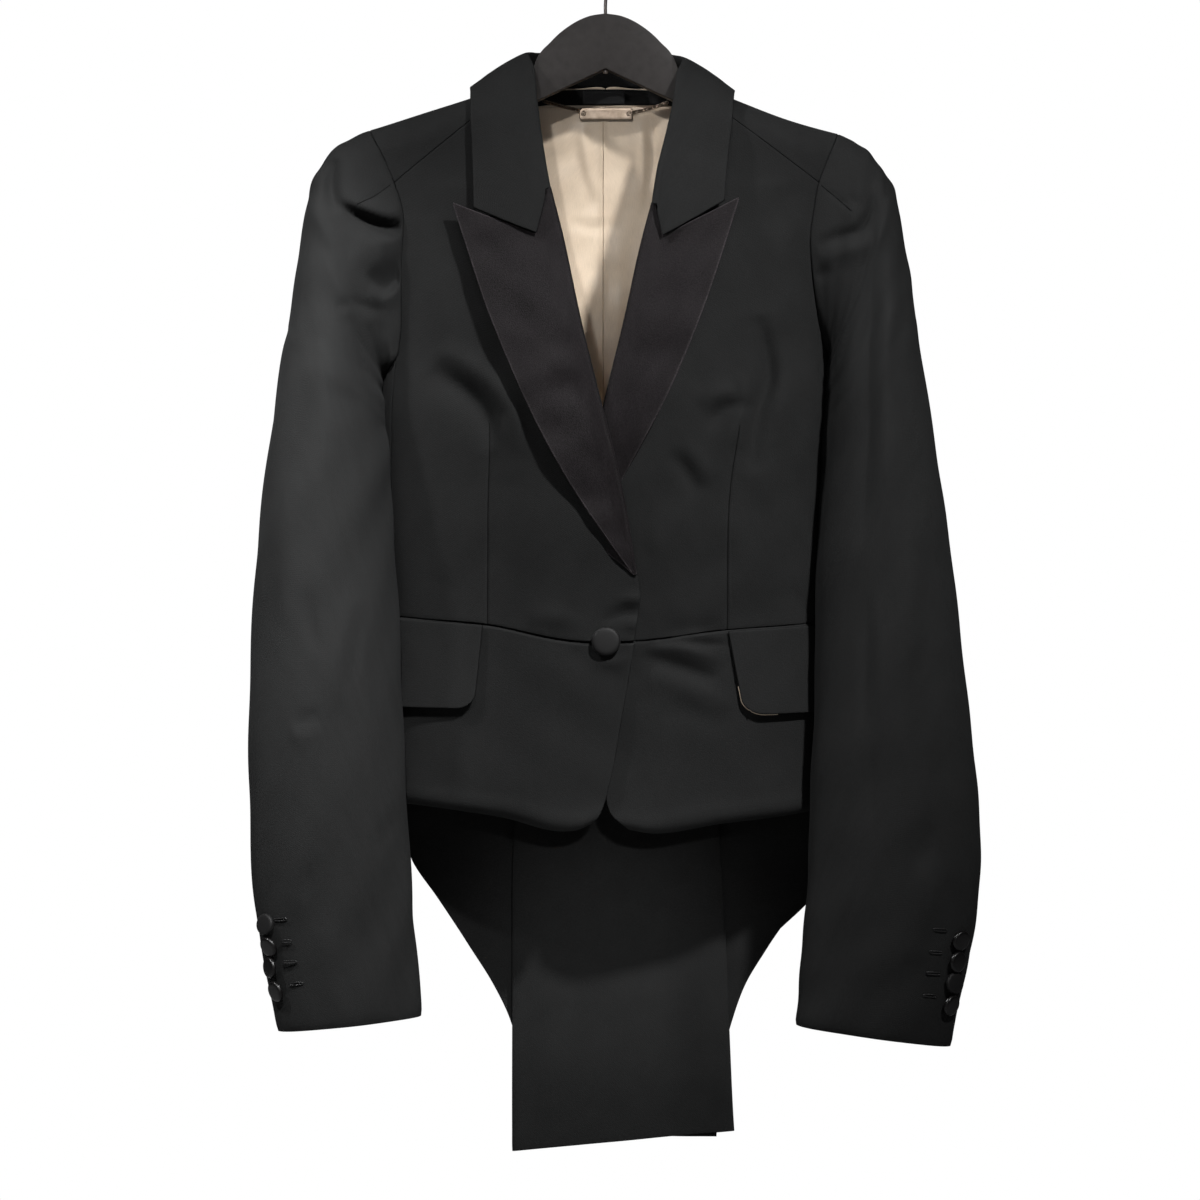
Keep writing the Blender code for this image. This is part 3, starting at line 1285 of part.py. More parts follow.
def add_hanger():
    """A flat body with a domed top, a ridge down its middle and arms along the shoulders."""
    reach, top, bottom = hanger_outline(10.0)
    thick = HANGER_HALF_THICKNESS
    ridge = HANGER_RIDGE * np.clip(1 - np.abs(reach) / HANGER_RIDGE_REACH, 0, 1)
    tip_length = HANGER_ARM_END - HANGER_TIP_FROM
    taper = mix(1.0, HANGER_TIP_SHARE, ease((np.abs(reach) - HANGER_TIP_FROM) / tip_length))
    chamfer = HANGER_CHAMFER
    sections = []
    for x, high, low, extra, narrow in zip(reach, top, bottom, ridge, taper):
        half = thick * narrow
        front = -(half + extra)
        section = [
            (x, front + chamfer, high),
            (x, half - chamfer, high),
            (x, half, high - chamfer),
            (x, half, low + chamfer),
            (x, half - chamfer, low),
            (x, front + chamfer, low),
            (x, front, low + chamfer),
            (x, front, high - chamfer),
        ]
        sections.append(section)
    count = len(sections[0])
    points = [point for section in sections for point in section]
    last = len(sections) - 1
    faces = [tuple(range(count)), tuple(last * count + place for place in range(count))]
    for index in range(last):
        for place in range(count):
            after = (place + 1) % count
            low, high = index * count, (index + 1) * count
            faces.append((low + place, low + after, high + after, high + place))
    add_mesh("hanger_body", points, faces, "hanger", 30)
    centre_z = -HOOK_RADIUS + HOOK_WIRE_RADIUS
    route = [(0.0, 0.0, HOOK_ROOT + 1.6), (0.0, 0.0, -56.0), (0.5, 0.0, -49.5)]
    route += [(2.4, 0.0, -44.5), (6.0, 0.0, -39.6)]
    for angle in np.linspace(-54, HOOK_TIP_ANGLE, 26):
        around = math.radians(angle)
        route.append((HOOK_RADIUS * math.cos(around), 0.0, centre_z + HOOK_RADIUS * math.sin(around)))
    add_wire("hanger_hook", route, HOOK_WIRE_RADIUS, "hook_metal", 3)


def main():
    for item in list(bpy.data.objects):
        bpy.data.objects.remove(item, do_unlink=True)
    add_body()
    add_buttons()
    add_inside()
    add_hanger()


main()
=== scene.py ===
"""The tailored jacket on its hanger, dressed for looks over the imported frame.

Tables and forms are in millimetres and are those of the solids. LEFT is the picture's left, at -X.
"""

import math

import bmesh
import bpy
import numpy as np
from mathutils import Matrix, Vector


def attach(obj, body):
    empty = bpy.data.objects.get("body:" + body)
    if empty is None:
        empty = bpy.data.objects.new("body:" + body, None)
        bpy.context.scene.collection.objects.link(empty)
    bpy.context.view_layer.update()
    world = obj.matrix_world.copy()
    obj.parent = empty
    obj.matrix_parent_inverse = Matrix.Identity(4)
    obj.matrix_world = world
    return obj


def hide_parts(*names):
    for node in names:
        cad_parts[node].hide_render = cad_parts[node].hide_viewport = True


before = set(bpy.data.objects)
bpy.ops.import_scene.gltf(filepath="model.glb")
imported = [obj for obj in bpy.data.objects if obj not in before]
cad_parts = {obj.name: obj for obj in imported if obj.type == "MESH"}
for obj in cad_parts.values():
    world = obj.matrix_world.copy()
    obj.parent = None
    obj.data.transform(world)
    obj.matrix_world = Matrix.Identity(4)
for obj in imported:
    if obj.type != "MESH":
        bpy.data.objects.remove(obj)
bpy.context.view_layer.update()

MM = 0.001
LEFT, RIGHT = -1, 1
SIDES = {LEFT: "left", RIGHT: "right"}
WOOL_THICKNESS = 1.8
SATIN_THICKNESS = 1.2
LINING_THICKNESS = 0.8
LABEL_THICKNESS = 0.5
COLLAR_THICKNESS = 2.2
SEAM_GAP = 0.06
SQUARENESS = 2.5
SHOULDER_ROUNDING = 24.0
FORWARD, BACKWARD = (0, -1, 0), (0, 1, 0)
FAR_FROM_RIM = 30.0
CREASE_STEPS, CREASE_RIDGE, CREASE_FADE = 6, 1.5, 0.7
WAVES, WAVE_SPREAD = 8, (0.6, 1.9)
# Soft unevenness of each kind of panel: seed, wave length and height
UNEVEN = {
    "front": (5, 46, 0.55),
    "back": (11, 60, 0.6),
    "skirt": (21, 60, 0.5),
    "lapel": (31, 38, 0.8),
    "flap": (41, 40, 0.25),
    "tail": (51, 75, 1.0),
    "pleat": (61, 80, 0.9),
    "sleeve": (71, 60, 0.8),
    "lining": (81, 30, 0.4),
}


def table(names, *rows):
    """Named columns of a table."""
    return {name: np.array([row[place] for row in rows], float) for place, name in enumerate(names.split())}


BODY = table(
    "height half_width front back",
    (-900, 150.5, 61, 40),
    (-760, 150.5, 61, 43),
    (-640, 150.5, 61, 46),
    (-560, 149.0, 58, 41),
    (-500, 148.5, 56, 36),
    (-420, 149.5, 61, 40),
    (-350, 153.5, 63, 46),
    (-300, 159.0, 58, 50),
    (-220, 175.0, 46, 48),
    (-160, 188.0, 35, 42),
    (-120, 191.0, 28, 37),
    (-84, 192.0, 24, 34),
)
SHOULDER = table(
    "out left right",
    (0, -84, -84),
    (40, -97, -97),
    (66, -112, -112.5),
    (96, -122.5, -125),
    (128, -132.7, -137.3),
    (168, -145.3, -148.5),
    (192, -152, -154),
)
WAIST = table(
    "angle left right",
    (0, -511.5, -511.5),
    (8, -510.5, -510.5),
    (34, -499, -503),
    (55, -495.5, -499.5),
    (78, -493.3, -497),
    (110, -492, -495.5),
    (150, -496, -498),
    (180, -500, -500),
)
ARMHOLE = table(
    "height front_left front_right back_left back_right",
    (-324, 156.0, 156.0, 156.0, 156.0),
    (-320, 152.5, 156.5, 153.5, 156.5),
    (-312, 146.5, 157.0, 148.5, 157.0),
    (-299, 144.8, 154.0, 146.0, 152.5),
    (-278, 144.7, 150.0, 144.5, 148.5),
    (-250, 144.8, 146.2, 143.5, 145.5),
    (-222, 143.5, 145.2, 144.0, 145.5),
    (-208, 143.5, 147.2, 146.5, 148.5),
    (-187, 149.6, 151.0, 153.0, 154.0),
    (-165, 159.0, 159.5, 162.0, 161.5),
    (-153, 165.3, 164.6, 166.5, 165.3),
    (-144, 169.2, 168.0, 169.2, 168.0),
)
ARMHOLE_TOP = {LEFT: -145.5, RIGHT: -148.3}
ARMHOLE_BOTTOM = {LEFT: -322.0, RIGHT: -312.0}
FORWARD_SEAM, SIDE_FRONT, SIDE_BACK = 57.0, 152.0, 208.0
SIDE_SEAM_WAIST, BACK_SEAM_WAIST = 78.0, 110.0
FRONT_EDGE = table(
    "share left_x left_z right_x right_z",
    (0.00, -70.0, -122.5, 70.0, -126.8),
    (0.12, -55.5, -152.0, 54.5, -157.0),
    (0.22, -41.5, -187.5, 35.0, -197.0),
    (0.30, -30.8, -222.5, 25.0, -230.0),
    (0.44, -16.2, -290.0, 11.8, -290.0),
    (0.56, -2.8, -344.5, -1.7, -346.0),
    (0.70, 12.6, -408.0, -15.0, -405.0),
    (0.82, 20.5, -452.0, -20.5, -455.0),
    (0.88, 24.0, -472.0, -21.5, -476.0),
    (1.00, 20.5, -511.7, -21.0, -511.0),
)
ARMHOLE_SHARE = 0.5
LAP_OUT, LAP_OUT_BELOW = 5.4, 3.8
LAP_FLAT_FROM, LAP_ENDS = -38.0, -80.0
LAP_BELOW_FROM, LAP_BELOW_FADE = -525.0, 55.0
LAP_ROLL_FROM, LAP_ROLL_FADE = -230.0, 70.0
LAPEL_ROLL = {
    LEFT: table(
        "place x z",
        (0.0, -38.6, -190.0),
        (0.15, -30.2, -223.0),
        (0.40, -16.0, -290.0),
        (0.60, -2.6, -344.5),
        (0.80, 12.8, -408.0),
        (1.0, 22.0, -464.0),
    ),
    RIGHT: table(
        "place x z",
        (0.0, 32.2, -201.5),
        (0.15, 24.3, -232.0),
        (0.40, 11.6, -290.0),
        (0.60, -2.0, -346.0),
        (0.80, -14.5, -405.0),
        (1.0, -20.5, -462.0),
    ),
}
LAPEL_OUTER = {
    LEFT: table(
        "place x z",
        (0.0, -108.0, -202.3),
        (0.15, -99.5, -228.0),
        (0.40, -78.5, -289.5),
        (0.60, -51.0, -352.9),
        (0.80, -19.0, -410.0),
        (0.92, 6.4, -447.0),
        (1.0, 19.6, -464.8),
    ),
    RIGHT: table(
        "place x z",
        (0.0, 94.4, -198.2),
        (0.15, 83.5, -233.0),
        (0.40, 63.5, -290.5),
        (0.60, 41.0, -342.5),
        (0.80, 11.0, -399.0),
        (0.92, -8.0, -438.0),
        (1.0, -18.3, -462.8),
    ),
}
NOTCH = {LEFT: (-49.2, -224.0), RIGHT: (40.0, -226.0)}
NOTCH_PLACE = 0.25
LAPEL_OUT = 2.3
LAPEL_STAND_CURVE = 1.5
LAPEL_STAND = table("place out", (0.0, 9.0), (0.35, 11.5), (0.6, 9.5), (0.8, 5.0), (0.92, 1.5), (1.0, 0.0))
LAPEL_COVER_FADE = 26.0
COLLAR = (
    ((-40.2, -41.4, -189.0), (-38.7, -47.9, -191.4), (-93.0, -49.9, -206.1)),
    ((-46.4, -38.0, -172.0), (-42.2, -44.0, -171.0), (-93.6, -46.0, -186.0)),
    ((-54.5, -33.5, -152.0), (-45.4, -40.0, -150.0), (-94.6, -41.2, -162.0)),
    ((-62.0, -29.0, -136.0), (-48.0, -33.5, -128.0), (-95.8, -36.2, -140.0)),
    ((-68.6, -21.5, -121.0), (-50.8, -20.5, -103.0), (-96.6, -19.0, -120.0)),
    ((-63.0, -1.0, -108.7), (-55.0, -3.0, -91.0), (-96.8, -1.0, -115.5)),
    ((-55.0, 20.5, -109.0), (-48.0, 18.0, -87.5), (-90.0, 22.5, -121.5)),
    ((-38.0, 33.5, -109.6), (-33.0, 31.5, -85.0), (-64.0, 38.5, -128.0)),
    ((0.0, 36.5, -109.6), (0.0, 36.5, -83.5), (0.0, 45.5, -131.0)),
    ((38.0, 33.5, -109.6), (33.0, 31.5, -85.0), (62.0, 40.6, -128.6)),
    ((55.0, 20.5, -109.2), (48.0, 18.0, -89.0), (86.5, 22.5, -123.5)),
    ((63.0, -1.0, -109.6), (55.0, -3.0, -95.0), (92.7, -1.0, -118.4)),
    ((68.6, -21.5, -125.0), (51.0, -20.5, -106.0), (92.0, -19.5, -122.0)),
    ((62.0, -29.0, -139.0), (47.2, -33.5, -131.0), (89.6, -37.0, -144.0)),
    ((54.0, -33.5, -157.0), (41.8, -40.5, -155.0), (87.0, -42.6, -166.0)),
    ((42.0, -39.2, -180.0), (36.2, -45.5, -178.0), (85.0, -47.4, -184.0)),
    ((33.8, -43.0, -199.6), (32.3, -49.4, -203.0), (83.7, -50.7, -201.1)),
)
COLLAR_FOLD_RADIUS, COLLAR_FOLD_WIDTH = 3.6, 0.8
COLLAR_BULGE = 1.6
COLLAR_END = {LEFT: (-48.6, -223.3), RIGHT: (39.6, -225.2)}
SKIRT_EDGE = {
    LEFT: table(
        "place x z",
        (0.0, 20.5, -512.2),
        (0.45, 10.6, -570.0),
        (0.80, 2.6, -612.0),
        (0.90, -1.4, -626.0),
        (0.95, -4.8, -633.8),
        (1.0, -10.5, -639.6),
    ),
    RIGHT: table(
        "place x z",
        (0.0, -21.0, -511.5),
        (0.45, -10.6, -568.0),
        (0.78, -1.2, -612.0),
        (0.88, 2.5, -630.0),
        (1.0, 16.0, -643.2),
    ),
}
SKIRT_HEM = {
    LEFT: table(
        "place angle height",
        (0.0, 4.02, -639.6),
        (0.05, 7.6, -643.4),
        (0.10, 11.4, -644.4),
        (0.30, 29.0, -635.0),
        (0.60, 63.0, -627.0),
        (1.0, 110.0, -632.0),
    ),
    RIGHT: table(
        "place angle height",
        (0.0, 6.1, -643.2),
        (0.08, 12.0, -646.0),
        (0.30, 33.5, -639.2),
        (0.60, 68.0, -631.0),
        (1.0, 110.0, -635.0),
    ),
}
# Pocket flaps in the front view: top inner, top outer, bottom inner and bottom outer corner
FLAPS = {
    LEFT: ((-85.3, -499.4), (-140.2, -494.9), (-90.5, -558.6), (-139.6, -558.0)),
    RIGHT: ((84.6, -503.9), (143.2, -498.9), (92.6, -563.0), (142.0, -561.0)),
}
FLAP_CORNER, FLAP_OUT, FLAP_LIFT, FLAP_BOW = 11.0, 2.6, 2.6, 0.8
TAIL_EDGE = table(
    "height left right",
    (-892, -60.0, 80.0),
    (-850, -61.0, 82.0),
    (-820, -62.5, 84.5),
    (-787, -69.5, 92.5),
    (-760, -82.5, 102.5),
    (-734, -98.6, 118.0),
    (-697, -120.5, 140.5),
    (-668, -137.5, 146.5),
    (-640, -140.6, 141.0),
    (-600, -140.2, 140.2),
    (-560, -139.4, 139.4),
    (-490, -138.9, 138.9),
)
TAIL_FOLD_LEAN, TAIL_FOLD_FROM, TAIL_FOLD_FADE = 9.0, -560.0, 200.0
TAIL_TOP, TAIL_HEM = -500.0, -872.0
TAIL_WAVE, TAIL_WAVE_TURN, TAIL_WAVE_START, TAIL_WAVE_FADE = 2.5, 5.5, 0.6, 250.0
PLEAT_TOP, PLEAT_IN, PLEAT_MIDDLE_IN, PLEAT_RETURN_IN, PLEAT_FOLD_ROUND = -520.0, 11.4, 12.4, 2.6, 4.0
PLEAT_EDGE = table(
    "height left right",
    (-890, -66.5, 94.0),
    (-880, -67.2, 93.8),
    (-866, -67.3, 92.8),
    (-793, -67.3, 89.4),
    (-717, -67.3, 86.3),
    (-685, -67.3, 84.8),
    (-600, -62.0, 76.0),
    (-520, -48.0, 56.0),
)
PLEAT_HEM_LEFT, PLEAT_HEM_RIGHT = -881.5, -866.5
SLEEVES = {
    LEFT: table(
        "out_x out_z in_x in_z middle_y half_depth",
        (168.8, -145.5, 155.8, -322.0, 0, 33),
        (180.5, -150.0, 156.9, -322.9, 0, 39),
        (191.0, -156.8, 157.7, -324.3, -1, 44),
        (204.3, -171.2, 158.1, -326.8, -2, 49),
        (211.1, -185.6, 158.1, -330.2, -3, 52),
        (215.0, -206.5, 157.7, -335.0, -4, 54),
        (220.5, -240.8, 156.8, -342.0, -6, 58),
        (225.7, -279.0, 155.4, -352.5, -9, 60),
        (231.6, -312.5, 153.8, -367.0, -14, 60),
        (240.0, -376.8, 152.4, -398.0, -22, 58),
        (246.6, -436.7, 149.8, -441.0, -29, 54),
        (250.3, -503.0, 146.2, -498.0, -37, 48),
        (251.5, -570.0, 143.0, -560.0, -43, 42),
        (250.8, -628.0, 140.2, -620.0, -47, 37),
        (247.5, -690.0, 136.4, -681.0, -50, 32),
        (239.5, -734.0, 133.3, -726.0, -52, 29),
        (230.9, -784.5, 127.4, -773.3, -54, 26),
    ),
    RIGHT: table(
        "out_x out_z in_x in_z middle_y half_depth",
        (166.7, -148.3, 156.9, -312.0, 0, 33),
        (176.0, -152.2, 158.2, -312.9, 0, 38),
        (186.7, -159.2, 158.2, -314.4, -1, 43),
        (196.3, -170.3, 157.6, -317.0, -2, 48),
        (203.8, -182.5, 156.8, -320.6, -3, 51),
        (209.0, -200.0, 156.0, -325.6, -4, 53),
        (215.3, -236.5, 155.3, -333.0, -6, 57),
        (219.8, -268.0, 154.8, -343.5, -9, 60),
        (225.0, -303.0, 154.2, -358.0, -14, 60),
        (235.6, -376.8, 153.4, -392.0, -22, 58),
        (243.6, -436.0, 150.4, -438.0, -29, 54),
        (250.6, -503.0, 148.2, -498.0, -37, 48),
        (257.0, -570.0, 146.0, -560.0, -43, 42),
        (262.0, -622.0, 143.6, -620.0, -47, 37),
        (265.2, -668.0, 141.4, -672.0, -50, 33),
        (259.6, -711.0, 139.0, -716.0, -52, 30),
        (251.0, -754.0, 136.2, -750.0, -53, 28),
        (242.5, -795.0, 133.0, -780.0, -54, 26),
    ),
}
ARMHOLE_GAP = 0.5
ARMHOLE_FADE = 4.0
BACK_SEAM_CUFF = 366.0
# How far the jacket's sides are drawn out below the armholes
SWELL = {
    LEFT: table(
        "height out",
        (-760, 0.0),
        (-640, 2.0),
        (-512, 3.6),
        (-470, 5.6),
        (-420, 8.0),
        (-375, 8.4),
        (-345, 7.4),
        (-326, 5.0),
        (-308, 2.0),
        (-286, 0.0),
    ),
    RIGHT: table(
        "height out",
        (-720, 0.0),
        (-636, 10.5),
        (-600, 10.5),
        (-512, 10.8),
        (-470, 9.0),
        (-420, 6.4),
        (-375, 6.2),
        (-345, 6.0),
        (-326, 4.6),
        (-308, 2.0),
        (-286, 0.0),
    ),
}
SWELL_BEHIND = {LEFT: 1.4, RIGHT: 2.0}
SWELL_FROM, SWELL_FADE = 74.0, 52.0
SWELL_BEHIND_FROM, SWELL_BEHIND_FADE, SWELL_DEPTH_FADE = 96.0, 34.0, 26.0
# Dart lines of the fronts, continued up to the shoulder without a seam
DARTS = {
    LEFT: table(
        "height x",
        (-500, -82.6),
        (-426, -82.0),
        (-356, -81.2),
        (-280, -88.0),
        (-200, -100.0),
        (-125, -116.0),
    ),
    RIGHT: table(
        "height x",
        (-504, 84.4),
        (-407, 86.8),
        (-356, 93.1),
        (-280, 95.0),
        (-200, 102.0),
        (-125, 114.0),
    ),
}
DART_TIP = -357.0


def rows_between(values, at):
    """The rows of an array read smoothly at fractional places."""
    values = np.asarray(values, float)
    at = np.clip(np.asarray(at, float), 0, len(values) - 1)
    low = np.clip(np.floor(at).astype(int), 0, len(values) - 2)
    t = (at - low).reshape(-1, *[1] * (values.ndim - 1))
    slopes = np.gradient(values, axis=0)
    rise = t * t * (3 - 2 * t)
    bend = slopes[low] * t * (1 - t) ** 2 - slopes[low + 1] * t * t * (1 - t)
    return values[low] * (1 - rise) + values[low + 1] * rise + bend


def refine(grid, down, across):
    """Splits each step of a grid along smooth curves through its points."""
    grid = rows_between(grid, np.linspace(0, len(grid) - 1, (len(grid) - 1) * down + 1))
    grid = np.swapaxes(grid, 0, 1)
    grid = rows_between(grid, np.linspace(0, len(grid) - 1, (len(grid) - 1) * across + 1))
    return np.swapaxes(grid, 0, 1)


def smooth(knots, values, at):
    """A smooth curve through the knots, held level beyond them."""
    knots = np.asarray(knots, float)
    values = np.asarray(values, float)
    slopes = np.gradient(values, knots)
    at = np.clip(np.asarray(at, float), knots[0], knots[-1])
    low = np.clip(np.searchsorted(knots, at) - 1, 0, len(knots) - 2)
    step = knots[low + 1] - knots[low]
    t = (at - knots[low]) / step
    rise = t * t * (3 - 2 * t)
    bend = slopes[low] * t * (1 - t) ** 2 - slopes[low + 1] * t * t * (1 - t)
    return values[low] * (1 - rise) + values[low + 1] * rise + bend * step


def column(rows, key, name, at):
    return smooth(rows[key], rows[name], at)


def ease(value):
    value = np.clip(value, 0, 1)
    return value * value * (3 - 2 * value)


def mix(start, end, share):
    return start + (end - start) * share


def unit(vectors):
    return vectors / np.maximum(np.linalg.norm(vectors, axis=-1, keepdims=True), 1e-9)


def half_width(height):
    return column(BODY, "height", "half_width", height)


def shoulder_line(x):
    left = column(SHOULDER, "out", "left", np.abs(x))
    right = column(SHOULDER, "out", "right", np.abs(x))
    return np.where(np.asarray(x) < 0, left, right)


def along_from_height(x, height):
    """Distance over the shoulder's ridge, down one side, to a height."""
    drop = np.maximum(shoulder_line(x) - height, 0)
    bend = np.arccos(np.clip(1 - drop / SHOULDER_ROUNDING, -1, 1))
    quarter = SHOULDER_ROUNDING * math.pi / 2
    return np.where(drop < SHOULDER_ROUNDING, bend * SHOULDER_ROUNDING, quarter + drop - SHOULDER_ROUNDING)


def body_point(x, along, out=0.0):
    """A point on the body. along is negative down the front and positive down the back."""
    x = np.asarray(x, float)
    angle = np.minimum(np.abs(along) / SHOULDER_ROUNDING, math.pi / 2)
    past = np.abs(along) - SHOULDER_ROUNDING * math.pi / 2
    height = shoulder_line(x) - SHOULDER_ROUNDING * (1 - np.cos(angle)) - np.maximum(past, 0)
    front = column(BODY, "height", "front", height)
    back = column(BODY, "height", "back", height)
    depth = np.where(np.asarray(along) < 0, -front, back)
    width = np.clip(np.abs(x) / half_width(height), 0, 1)
    shape = (1 - width**SQUARENESS) ** (1 / SQUARENESS)
    y = depth * np.sin(angle) * shape + out * np.sign(depth)
    return np.stack(np.broadcast_arrays(x, y, height), axis=-1)


def front_point(x, height, out=0.0):
    return body_point(x, -along_from_height(x, height), out)


def back_point(x, height, out=0.0):
    return body_point(x, along_from_height(x, height), out)


def ring_point(side, angle, height, out=0.0):
    """A point round the body below the arms. The angle runs from the front centre to the back."""
    radians = np.radians(angle)
    x = side * half_width(height) * np.sin(radians)
    front = column(BODY, "height", "front", height)
    back = column(BODY, "height", "back", height)
    depth = np.where(np.cos(radians) > 0, -front, back)
    shape = (1 - np.abs(np.sin(radians)) ** SQUARENESS) ** (1 / SQUARENESS)
    along_x = np.sin(radians) * out * side
    along_y = -np.cos(radians) * out
    return np.stack(np.broadcast_arrays(x + along_x, depth * shape + along_y, height), axis=-1)


def angle_of(side, x, height):
    share = np.clip(np.asarray(x, float) * side / half_width(height), -1, 1)
    return np.degrees(np.arcsin(share))


def waist_height(side, angle):
    return column(WAIST, "angle", SIDES[side], np.abs(angle))


def armhole_point(side, angle):
    """A point of the armhole seam. 0 is its top, 90 the front, 180 the armpit, 270 the back."""
    angle = np.asarray(angle, float)
    top, bottom = ARMHOLE_TOP[side], ARMHOLE_BOTTOM[side]
    height = (top + bottom) / 2 + (top - bottom) / 2 * np.cos(np.radians(angle))
    in_front = np.sin(np.radians(angle)) > 0
    front = column(ARMHOLE, "height", "front_" + SIDES[side], height)
    back = column(ARMHOLE, "height", "back_" + SIDES[side], height)
    x = side * np.where(in_front, front, back)
    widest = side * half_width(height)
    x = np.where(np.abs(x) > np.abs(widest), widest, x)
    along = along_from_height(x, height)
    return body_point(x, np.where(in_front, -along, along))


def passed_along(course):
    """How far each point of a course lies along it."""
    return np.concatenate([[0], np.cumsum(np.linalg.norm(np.diff(course, axis=0), axis=1))])


def beside_course(x, z, course):
    """Distance of places from a course, their share of the way along it, and on which side they lie."""
    steps = np.linalg.norm(np.diff(course, axis=0), axis=1)
    passed = passed_along(course)
    shape = np.broadcast(x, z).shape
    nearest, share, beside = np.full(shape, np.inf), np.zeros(shape), np.zeros(shape)
    for start, end, length, before in zip(course, course[1:], steps, passed):
        way = (end - start) / length
        from_x, from_z = x - start[0], z - start[1]
        along = np.clip(from_x * way[0] + from_z * way[1], 0, length)
        off = np.hypot(from_x - way[0] * along, from_z - way[1] * along)
        closer = off < nearest
        nearest = np.where(closer, off, nearest)
        share = np.where(closer, (before + along) / passed[-1], share)
        beside = np.where(closer, way[0] * from_z - way[1] * from_x, beside)
    return nearest, share, beside


def crease(x, z, lines):
    """How far creases raise the cloth at places of a flat view.

    Each line has its points, its reach on the left and on the right of its course, its height, and
    how sharp it is: 2 is soft, 1 has an edge. It fades out at both ends.
    """
    total = np.zeros(np.broadcast(x, z).shape)
    for points, reach_left, reach_right, height, sharp in lines:
        stations = np.linspace(0, len(points) - 1, CREASE_STEPS * (len(points) - 1) + 1)
        nearest, share, beside = beside_course(x, z, rows_between(points, stations))
        reach = mix(reach_right, reach_left, ease(beside / CREASE_RIDGE * 0.5 + 0.5))
        total += height * np.sin(math.pi * share) ** CREASE_FADE * np.exp(-((nearest / reach) ** sharp))
    return total


def uneven(a, b, kind, side=0):
    """Soft unevenness of hanging cloth over two flat directions, from a few crossing waves."""
    seed, size, height = UNEVEN[kind]
    chance = np.random.default_rng(seed + side)
    total = np.zeros(np.broadcast(a, b).shape)
    for _ in range(WAVES):
        turn = chance.uniform(0, math.pi)
        length = size * chance.uniform(*WAVE_SPREAD)
        start = chance.uniform(0, 2 * math.pi)
        total += np.sin((a * math.cos(turn) + b * math.sin(turn)) * 2 * math.pi / length + start)
    return total * height / math.sqrt(WAVES)


def coons(top, bottom, start, end):
    """A patch between four boundary curves: top and bottom run across, start and end run down."""
    down = np.linspace(0, 1, len(start))[:, None, None]
    across = np.linspace(0, 1, len(top))[None, :, None]
    between = top[None] * (1 - down) + bottom[None] * down
    beside = start[:, None] * (1 - across) + end[:, None] * across
    corners = (
        top[0] * (1 - down) * (1 - across)
        + top[-1] * (1 - down) * across
        + bottom[0] * down * (1 - across)
        + bottom[-1] * down * across
    )
    return between + beside - corners


def path(points, count):
    """Evenly shared out points along a front-view line."""
    at = np.linspace(0, 1, count)
    return np.stack([column(points, "place", name, at) for name in ("x", "z")], axis=-1)


def grid_normals(grid, outward):
    normals = unit(np.cross(np.gradient(grid, axis=0), np.gradient(grid, axis=1)))
    middle = normals[grid.shape[0] // 2, grid.shape[1] // 2]
    return -normals if np.dot(middle, outward) < 0 else normals


def inward_steps(grid):
    """At each point of a grid's rim, the direction in from the rim."""
    steps = np.zeros_like(grid)
    steps[0] += unit(grid[1] - grid[0])
    steps[-1] += unit(grid[-2] - grid[-1])
    steps[:, 0] += unit(grid[:, 1] - grid[:, 0])
    steps[:, -1] += unit(grid[:, -2] - grid[:, -1])
    return steps


def rim_order(rows, columns):
    """The places of a grid's rim points, once round."""
    rim = list(range(columns))
    rim += [row * columns + columns - 1 for row in range(1, rows)]
    rim += [(rows - 1) * columns + place for place in range(columns - 2, -1, -1)]
    rim += [row * columns for row in range(rows - 2, 0, -1)]
    return np.array(rim)


def add_mesh(name, points, faces, finishes, places=None, cloth=None, edge=None, sharp=None):
    """A smooth-shaded object from points in millimetres, with its faces pointing out."""
    mesh = bpy.data.meshes.new(name)
    mesh.from_pydata((np.asarray(points) * MM).tolist(), [], [list(map(int, face)) for face in faces])
    edit = bmesh.new()
    edit.from_mesh(mesh)
    bmesh.ops.recalc_face_normals(edit, faces=edit.faces)
    edit.to_mesh(mesh)
    edit.free()
    mesh.shade_smooth()
    if sharp:
        mesh.set_sharp_from_angle(angle=math.radians(sharp))
    for finish in finishes:
        mesh.materials.append(material(finish))
    if places is not None:
        mesh.polygons.foreach_set("material_index", np.asarray(places, np.int32))
    if cloth is not None:
        stored = mesh.attributes.new("cloth", "FLOAT_VECTOR", "POINT")
        stored.data.foreach_set("vector", np.asarray(cloth, np.float32).ravel())
        stored = mesh.attributes.new("edge", "FLOAT", "POINT")
        stored.data.foreach_set("value", np.asarray(edge, np.float32).ravel())
    item = bpy.data.objects.new(name, mesh)
    bpy.context.collection.objects.link(item)
    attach(item, "root")
    return item


def cloth_places(grid):
    """How far each point lies across and down the cloth, and from its nearest rim."""
    across = np.zeros(grid.shape[:2])
    down = np.zeros(grid.shape[:2])
    across[:, 1:] = np.cumsum(np.linalg.norm(np.diff(grid, axis=1), axis=-1), axis=1)
    down[1:] = np.cumsum(np.linalg.norm(np.diff(grid, axis=0), axis=-1), axis=0)
    rim = np.minimum.reduce([across, across[:, -1:] - across, down, down[-1:] - down])
    across = across - across[:, across.shape[1] // 2][:, None]
    return np.stack([across, down, 0 * down], axis=-1), np.clip(rim, 0, FAR_FROM_RIM)


